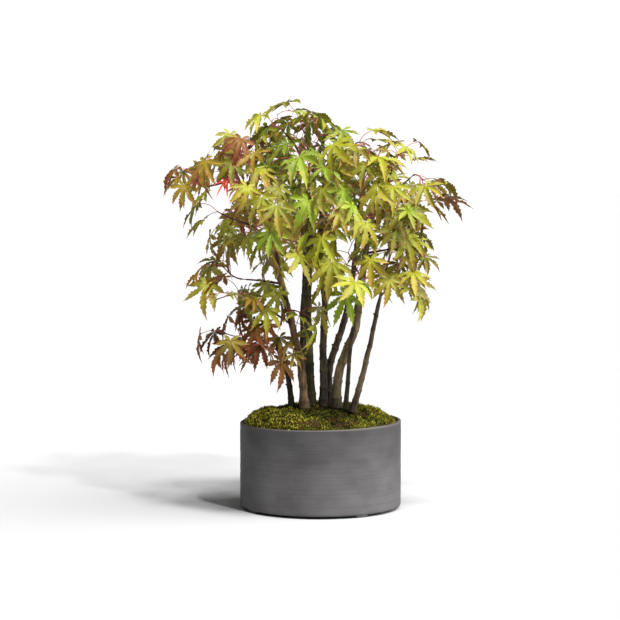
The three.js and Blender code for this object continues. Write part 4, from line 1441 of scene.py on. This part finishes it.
def moss_kinds() -> list[MossTufts]:
    """Return the kinds of tuft on the soil: dark under bright, with dry ones in patches. The bright tufts on
    the cushions' tops are moss colour and partly a painted highlight; the dark ones in the hollows and round
    the stems' feet are partly painted shade.
    """
    bright = Plain("moss_bright", linear(0xBCB646), 0.9, 0.1)
    green = Plain("moss_green", linear(0x808022), 0.9, 0.1)
    dark = Plain("moss_dark", linear(0x1A1C08), 0.9, 0.1)
    dry = Plain("moss_dry", linear(0x7A5028), 0.9, 0.1)
    seta = Plain("moss_setae", linear(0x6A4A30), 0.9, 0.1)
    return [
        MossTufts("moss_bright", bright, 7, 2.6, 0.8, 1.8, 70000.0, "cover", 0.08, 9.0, 5),
        MossTufts("moss_green", green, 6, 2.4, 0.9, 1.6, 110000.0, "cover", -0.12, 0.4, 6),
        MossTufts("moss_dark", dark, 5, 1.6, 0.9, 1.4, 110000.0, "cover", -9.0, -0.04, 7),
        MossTufts("moss_dry", dry, 6, 2.0, 0.8, 1.5, 120000.0, "dryness", 0.32, 9.0, 8),
        MossTufts("moss_setae", seta, 1, 7.5, 0.28, 1.5, 2600.0, "cover", 0.0, 9.0, 9),
    ]


# ------------------------------------------------------------------ stems and boughs


@dataclass(frozen=True)
class BarkRelief:
    """How a stem's bark stands out: grain, ring-like nodes, knots and cut stubs."""

    sides: int = 28
    step: float = 1.3
    grain: float = 0.42
    grain_pitch: float = 5.0
    ring: float = 0.8
    ring_gap: tuple[float, float] = (13.0, 27.0)
    wander: float = 1.0
    stub_share: float = 0.5
    stub_length: tuple[float, float] = (1.5, 5.0)
    flare: float = 0.42
    flare_run: float = 7.0
    tip_radius: float = 1.2
    tip_slope: float = 0.06

    def radii(self, limb: Limb, runs: np.ndarray, flares: bool) -> np.ndarray:
        """Return the plain radius at runs along a limb, as the solids have it.

        Args:
            limb: The limb.
            runs: Lengths from its foot.
            flares: Whether it spreads at its foot.

        Returns:
            The radii.
        """
        slim = self.tip_radius + self.tip_slope * (limb.length - runs)
        spread = 1 + (self.flare if flares else 0.0) * np.exp(-runs / self.flare_run)
        return np.minimum(limb.radius_at(runs), slim) * spread

    def line(self, limb: Limb) -> tuple[np.ndarray, np.ndarray]:
        """Return the limb's middle line at even steps, with the runs."""
        runs = np.linspace(0, limb.length, max(int(limb.length / self.step), 8))
        points = np.stack([np.interp(runs, limb.runs, limb.axis[:, k]) for k in range(3)], axis=1)
        for _ in range(3):
            points[1:-1] = (points[:-2] + 2 * points[1:-1] + points[2:]) / 4
        fade = np.clip(np.minimum(runs, limb.length - runs) / 20, 0, 1) * self.wander
        for row, run in enumerate(runs):
            place = Vector((limb.length, run / 24, limb.thick))
            drift = (noise.noise(place), noise.noise(place + Vector((50, 0, 0))), 0)
            points[row] += fade[row] * np.array(drift)
        return points, runs

    def nodes(self, limb: Limb, draws: Draws) -> list[float]:
        """Return the runs at which the limb has a ring-like node."""
        found = []
        run = draws.between(8, 16)
        while run < limb.length - 8:
            found.append(run)
            run += draws.between(*self.ring_gap)
        return found

    def surface(self, limb: Limb, flares: bool, seed: int) -> MeshMaker:
        """Return the limb's mesh with its bark.

        Args:
            limb: The limb.
            flares: Whether it spreads at its foot.
            seed: Settles where the nodes and stubs are.

        Returns:
            The mesh as it is collected.
        """
        draws = Draws(seed)
        points, runs = self.line(limb)
        plain = self.radii(limb, runs, flares)
        scale = np.clip(plain / 5.0, 0.25, 1.0)
        nodes = self.nodes(limb, draws)
        rings = sum(np.exp(-(((runs - node) / 1.5) ** 2)) for node in nodes)
        angles = np.linspace(0, 2 * math.pi, self.sides, endpoint=False)
        grain = np.zeros((len(points), self.sides))
        for row, (point, radius) in enumerate(zip(points, plain)):
            for column, angle in enumerate(angles):
                place = (
                    (point[0] + radius * math.cos(angle)) / self.grain_pitch,
                    (point[1] + radius * math.sin(angle)) / self.grain_pitch,
                    point[2] / (self.grain_pitch * 2.2) + seed,
                )
                grain[row, column] = noise.fractal(Vector(place), 0.8, 2.2, 4)
        raised = plain[:, None] + (self.grain * grain + self.ring * rings[:, None]) * scale[:, None]
        fade = np.clip((limb.length - runs) / 6.0, 0.6, 1.0)[:, None]
        maker = MeshMaker()
        maker.add(*tube(points, raised * fade, self.sides))
        for node in nodes:
            if draws.next() < self.stub_share:
                self.add_stub(maker, limb, node, draws)
        return maker

    def add_stub(self, maker: MeshMaker, limb: Limb, run: float, draws: Draws) -> None:
        """Add the stub of a twig that was cut off at a node."""
        centre, along = limb.at_share(run / limb.length)
        first, second = across(along)
        turn = draws.between(0, 2 * math.pi)
        outward = unit(first * math.cos(turn) + second * math.sin(turn) + along * 0.6)
        radius = float(limb.radius_at(np.array(run)))
        length = radius + draws.between(*self.stub_length) * min(radius / 4, 1)
        points = np.array([centre, centre + outward * length * 0.7, centre + outward * length])
        width = min(radius * 0.45, 1.5)
        maker.add(*tube(points, np.array([width * 1.3, width, width * 0.75]), 10))


@dataclass(frozen=True)
class Woodwork:
    """All stems and boughs, each a piece of its own."""

    plant: Plant
    relief: BarkRelief
    finishes: dict[str, Bark]
    bough_finish: Bark

    def make(self) -> None:
        """Make every limb's piece."""
        for index, (name, limb) in enumerate(self.plant.limbs.items()):
            is_stem = name in self.finishes
            relief = self.relief if is_stem else replace(self.relief, sides=14, ring=0.5, stub_share=0.2)
            finish = self.finishes.get(name, self.bough_finish)
            maker = relief.surface(limb, is_stem, seed=11 + index)
            piece = maker.build(f"{name}_bark", [finish.material()])
            dress(piece, "bark" if is_stem else "young_bark", name)


# ------------------------------------------------------------------ foliage


class Part(Enum):
    """Where on a leaf a face lies; its value is the material slot among the tint's."""

    HEART = 0
    OUTER = 1
    MARGIN = 2
    RIB = 3


@dataclass(frozen=True)
class LobeBend:
    """How one lobe departs from the flat: it sags, sways, rolls, folds and ripples."""

    sag: float
    sway: float
    roll: float
    fold: float
    phase: float


@dataclass(frozen=True)
class LeafShape:
    """The outline of a star-shaped leaf with seven toothed lobes.

    Widths and depths are shares of the leaf's own length. A lobe is narrow where it leaves
    the palm, widest past its middle and drawn out to a long tip.
    """

    teeth: int = 6
    notch: float = 0.22
    outline_at: tuple[float, ...] = (0.0, 0.12, 0.3, 0.45, 0.6, 0.76, 0.9, 1.0)
    outline: tuple[float, ...] = (0.068, 0.074, 0.094, 0.1, 0.082, 0.044, 0.014, 0.0)
    tooth: float = 0.34
    lean: float = 0.6
    rib: float = 0.007
    margin: float = 0.72
    ripple: float = 0.02

    def stations(self, length: float, basal: bool) -> tuple[np.ndarray, np.ndarray]:
        """Return the places along one lobe's rib and the lobe's half width at each.

        Args:
            length: The lobe's length.
            basal: Whether it is one of the two small basal lobes.

        Returns:
            Places and half widths, with valleys and teeth taking turns.
        """
        half_angle = math.radians(21.0 if basal else 19.0)
        start = self.notch * math.cos(half_angle) * (BASAL_NOTCH if basal else 1.0)
        count = 2 * (3 if basal else self.teeth)
        share = np.linspace(0, 1, count + 1)
        scale = (0.5 + 0.5 * length) * (0.8 if basal else 1.0)
        width = np.interp(share, self.outline_at, self.outline) * scale
        is_tooth = np.arange(count + 1) % 2 == 1
        width = width * np.where(is_tooth, 1 + self.tooth, 1 - 0.4 * self.tooth)
        width[0] = start * math.tan(half_angle)
        lean = np.where(is_tooth, self.lean / count, 0.0) * (1 - share)
        places = start + (share + lean) * (length - start)
        return np.array([0.0, *places]), np.array([0.0, *width])

    def blade(self, leaf: Leaf, draws: Draws) -> tuple[np.ndarray, np.ndarray, np.ndarray]:
        """Return one leaf's blade.

        Args:
            leaf: Where it lies.
            draws: Settle its small differences.

        Returns:
            Vertices, triangles and the material slot of each triangle.
        """
        points, faces, slots = [], [], []
        count = 0
        edge_from = draws.between(0.25, 0.8)
        fold = draws.between(0.25, 1.0)
        # Each leaf draws a brightness level and each lobe one near it: partly tone, partly painted light and
        # shade.
        shade = draws.between(0, len(SHADES))
        for degrees, length in LOBES:
            places, widths = self.stations(length * draws.between(0.9, 1.06), abs(degrees) > 90)
            bend = LobeBend(
                sag=draws.between(-0.15, 0.35),
                sway=draws.between(-14, 14),
                roll=draws.between(-0.9, 0.9),
                fold=fold,
                phase=draws.between(0, 6.28),
            )
            grid = self.lobe(leaf, degrees, places, widths, bend)
            lobe_shade = int(min(max(shade + draws.between(-0.5, 0.5), 0), len(SHADES) - 0.01))
            quads, part = self.lobe_faces(len(places), places, edge_from)
            points.append(grid.reshape(-1, 3))
            faces.append(quads + count)
            slots.append(part + lobe_shade * len(Part))
            count += len(places) * 6
        return np.concatenate(points), np.concatenate(faces), np.concatenate(slots)

    def lobe(
        self, leaf: Leaf, degrees: float, places: np.ndarray, widths: np.ndarray, bend: LobeBend
    ) -> np.ndarray:
        """Return one lobe's grid of points, a row of six across its rib at each station.

        Args:
            leaf: Where the blade lies.
            degrees: The lobe's angle from the middle one.
            places: Stations along the rib.
            widths: Half widths there.
            bend: How the lobe bends.

        Returns:
            The points, by station and across.
        """
        half = np.minimum(widths, np.maximum(self.rib * (1 - places), 0.003))
        inner = widths * self.margin
        offsets = np.stack([-widths, -inner, -half, half, inner, widths], axis=1)
        reach = places[:, None]
        angle = np.radians(degrees + bend.sway * reach**2)
        along = reach * np.cos(angle) - offsets * np.sin(angle)
        aside = reach * np.sin(angle) + offsets * np.cos(angle)
        ripple = 8 * self.ripple * np.sin(21 * reach + bend.phase)
        lift = np.abs(offsets) * (bend.fold * (0.4 + reach) + ripple)
        height = lift + offsets * bend.roll * reach - (leaf.curl + bend.sag) * reach**2
        local = np.stack([along, aside, height], axis=2) * leaf.span
        return leaf.base + local @ np.stack([leaf.middle, leaf.side, leaf.normal])

    @staticmethod
    def lobe_faces(rows: int, places: np.ndarray, edge_from: float) -> tuple[np.ndarray, np.ndarray]:
        """Return a lobe's triangles and their parts.

        Args:
            rows: Stations along the rib.
            places: The stations.
            edge_from: Where along the lobe its edge starts to turn.

        Returns:
            Triangles and parts.
        """
        row, column = np.meshgrid(np.arange(rows - 1), np.arange(5), indexing="ij")
        low = (row * 6 + column).ravel()
        first = np.stack([low, low + 7, low + 1], axis=1)
        second = np.stack([low, low + 6, low + 7], axis=1)
        reach = places[row.ravel() + 1]
        column = column.ravel()
        part = np.full(len(low), Part.HEART.value)
        part[reach > edge_from] = Part.OUTER.value
        part[((column == 0) | (column == 4)) & (reach > edge_from - 0.1)] = Part.MARGIN.value
        part[reach > edge_from + 0.35] = Part.MARGIN.value
        part[column == 2] = Part.RIB.value
        return np.concatenate([first, second]), np.concatenate([part, part])


@dataclass(frozen=True)
class CoralShoot:
    """A young shoot at a bough's middle: a soft red twig with three small red leaves."""

    bough: str = "bough_high_left"
    share: float = 0.42
    node: str = "leaves_left_tip_inner"
    reaches: tuple[float, float, float] = (-112.0, -62.0, 405.0)
    colour: Plain = Plain("coral", linear(0xF0604C), 0.5, 0.3)
    aims: tuple[tuple[float, float, float, float], ...] = (
        (-0.75, -0.4, -0.55, 25.0),
        (0.85, -0.35, -0.2, 20.0),
        (0.5, -0.6, -0.75, 16.0),
    )

    def make(self, plant: Plant, shape: LeafShape) -> None:
        """Make the shoot, on its bough.

        Args:
            plant: Carries the bough.
            shape: The leaves' outline.
        """
        root, _ = plant.limbs[self.bough].at_share(self.share)
        tip = vec(*self.reaches)
        draws = Draws(77)
        slim = replace(shape, outline=tuple(width * 0.6 for width in shape.outline), notch=0.14)
        maker = MeshMaker()
        maker.add(*tube(np.array([root, (root + tip) / 2, tip]), np.array([0.9, 0.8, 0.7]), 8))
        for x, y, z, span in self.aims:
            middle = unit(vec(x, y, z))
            side = unit(np.cross(vec(0, -0.5, 1), middle))
            leaf = Leaf(root, tip, tip, middle, np.cross(middle, side), span, 0.3)
            points, faces, _ = slim.blade(leaf, draws)
            maker.add(points, faces)
        dress(maker.build("coral_shoot", [self.colour.material()]), "young_bark", self.node)


@dataclass(frozen=True)
class Foliage:
    """Leaves, stalks and twigs, each kind joined apart."""

    plant: Plant
    shape: LeafShape
    young_wood: Plain
    old_wood: Plain
    stalk: Plain

    def make(self) -> None:
        """Make the pieces."""
        self.make_leaves()
        self.make_twigs()
        self.make_stalks()

    def make_leaves(self) -> None:
        """Join the leaves by tint."""
        makers = {tint: MeshMaker() for tint in Tint}
        nodes: dict[Tint, list[str]] = {tint: [] for tint in Tint}
        for growth in self.plant.growths:
            draws = Draws(growth.mass.seed + 401)
            for leaf in growth.leaves:
                tint = growth.mass.tint.vary(draws)
                makers[tint].add(*self.shape.blade(leaf, draws))
                if growth.mass.node not in nodes[tint]:
                    nodes[tint].append(growth.mass.node)
        for tint, maker in makers.items():
            piece = maker.build(f"{tint.slot}_blades", tint.materials())
            dress(piece, tint.slot, *nodes[tint])

    def make_twigs(self) -> None:
        """Join the twigs: the masses' stems and side twigs, and the finer sprigs."""
        old, young = MeshMaker(), MeshMaker()
        for growth in self.plant.growths:
            self.add_twig(old, growth.twig, 1.15)
            for side in growth.sides:
                self.add_twig(young, side, 1.1)
            for sprig in growth.sprigs:
                self.add_twig(young, sprig, 1.0)
        nodes = [growth.mass.node for growth in self.plant.growths]
        dress(old.build("twigs_older", [self.old_wood.material()]), "young_bark", *nodes)
        dress(young.build("twigs_young", [self.young_wood.material()]), "young_bark", *nodes)

    @staticmethod
    def add_twig(maker: MeshMaker, twig: Twig, thickness: float) -> None:
        """Add one twig, a little swollen at its ends."""
        line = twig.line(8)
        radii = np.linspace(twig.radii[0], twig.radii[-1], 9) * thickness
        radii[-1] *= 1.35
        maker.add(*tube(line, radii, 6))

    def make_stalks(self) -> None:
        """Join the leaves' stalks."""
        maker = MeshMaker()
        for growth in self.plant.growths:
            for leaf in growth.leaves:
                join = leaf.base + leaf.middle * leaf.span * 0.03
                line = smooth_run([leaf.node, leaf.knee, join], steps=3)
                maker.add(*tube(line, np.linspace(0.5, 0.4, len(line)), 5))
        nodes = [growth.mass.node for growth in self.plant.growths]
        dress(maker.build("leaf_stalks", [self.stalk.material()]), "young_bark", *nodes)


# ------------------------------------------------------------------ studio


@dataclass(frozen=True)
class Lamp:
    """A distant lamp: its strength, how wide it is in degrees, and where it shines from."""

    name: str
    power: float
    angle: float
    source: tuple[float, float, float]

    def hang(self) -> None:
        """Add the lamp to the scene."""
        light = bpy.data.lights.new(self.name, "SUN")
        light.energy = self.power
        light.angle = math.radians(self.angle)
        lamp = bpy.data.objects.new(self.name, light)
        lamp.rotation_euler = Vector(self.source).to_track_quat("Z", "Y").to_euler()
        bpy.context.scene.collection.objects.link(lamp)


@dataclass(frozen=True)
class Studio:
    """A white floor and sky, three lamps and the camera."""

    floor_height: float = -0.003
    floor_size: float = 30.0
    floor_colour: Colour = (0.45, 0.45, 0.455)
    sky: float = 0.2
    lamps: tuple[Lamp, ...] = (
        Lamp("front_lamp", 1.8, 4.0, (0.40, -0.60, 0.70)),
        Lamp("side_lamp", 4.0, 60.0, (0.76, -0.16, 0.62)),
        Lamp("top_lamp", 3.1, 9.0, (0.12, -0.26, 0.96)),
    )
    camera_at: tuple[float, float, float] = (-0.01307, -2.860, 0.464)
    camera_pitch: float = 0.0772
    lens: float = 134.4

    def make(self) -> None:
        """Set up the stage, the lights and the camera."""
        scene = bpy.context.scene
        scene.view_settings.view_transform = "Standard"
        self.make_floor()
        scene.world = self.make_world()
        for lamp in self.lamps:
            lamp.hang()
        camera = bpy.data.cameras.new("camera")
        camera.lens = self.lens
        camera.sensor_width = 36.0
        camera.clip_end = 100.0
        viewer = bpy.data.objects.new("camera", camera)
        viewer.location = self.camera_at
        viewer.rotation_euler = (math.pi / 2 - self.camera_pitch, 0, 0)
        scene.collection.objects.link(viewer)
        scene.camera = viewer

    def make_world(self) -> bpy.types.World:
        """Return a sky that is dim as a light and looks white as a backdrop."""
        world = bpy.data.worlds.new("studio")
        world.use_nodes = True
        nodes, links = world.node_tree.nodes, world.node_tree.links
        backdrop = nodes["Background"]
        backdrop.inputs["Color"].default_value = (1, 1, 1, 1)
        path = nodes.new("ShaderNodeLightPath")
        strength = nodes.new("ShaderNodeMapRange")
        strength.inputs["To Min"].default_value = self.sky
        strength.inputs["To Max"].default_value = 1.1
        links.new(path.outputs["Is Camera Ray"], strength.inputs["Value"])
        links.new(strength.outputs["Result"], backdrop.inputs["Strength"])
        return world

    def make_floor(self) -> None:
        """Lay the floor that the pot stands on."""
        half = self.floor_size / 2
        corners = [(-half, -half), (half, -half), (half, half), (-half, half)]
        mesh = bpy.data.meshes.new("floor")
        mesh.from_pydata([(x, y, self.floor_height) for x, y in corners], [], [(0, 1, 2, 3)])
        mesh.materials.append(Plain("floor", self.floor_colour, 0.9, 0.1).material())
        floor = bpy.data.objects.new("floor", mesh)
        bpy.context.scene.collection.objects.link(floor)


# ------------------------------------------------------------------ the scene


def stem_finishes() -> dict[str, Bark]:
    """Return each stem's bark: some are pale, some brown, some dark and greenish."""
    brown = Bark("brown", linear(0x8A7052), linear(0x5C4732), linear(0x2E2218), foot_high=0.138)
    green = Bark("green", linear(0x58532E), linear(0x3C3820), linear(0x1E1C12))
    grey = Bark("grey", linear(0x5C4D38), linear(0x3C3226), linear(0x201A14))
    tan = Bark("tan", linear(0x93825E), linear(0x6E5E44), linear(0x3C3226))
    olive = Bark("olive", linear(0x6E5C42), linear(0x4C3F2E), linear(0x282018), foot_high=0.15)
    chosen = {
        "stem_left": brown,
        "stem_far_left": grey,
        "stem_middle": green,
        "stem_right": tan,
        "stem_front_right": grey,
        "stem_far_right": olive,
    }
    return {plan.name: chosen.get(plan.name, grey) for plan in STEMS}


def main() -> None:
    """Build the finish, piece by piece."""
    logging.basicConfig(level=logging.INFO, format="%(name)s: %(message)s")
    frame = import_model()
    LOG.info("solids in the part: %d", len(frame["nodes"]))
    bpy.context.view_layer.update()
    mound = Mound()
    plant = Plant(mound)
    pot = Pot()
    pot.make(Stoneware())
    soil = Soil(pot, mound).make(SoilCover())
    for tufts in moss_kinds():
        tufts.make(soil)
    bough_bark = Bark("young", linear(0x7A4A3C), linear(0x5A3329), linear(0x33201B))
    Woodwork(plant, BarkRelief(), stem_finishes(), bough_bark).make()
    shape = LeafShape()
    CoralShoot().make(plant, shape)
    Foliage(
        plant,
        shape,
        young_wood=Plain("twig_young", linear(0xA0403A)),
        old_wood=Plain("twig_older", linear(0x5E3430)),
        stalk=Plain("leaf_stalk", linear(0xB2544C)),
    ).make()
    Studio().make()


if __name__ == "__main__":
    main()
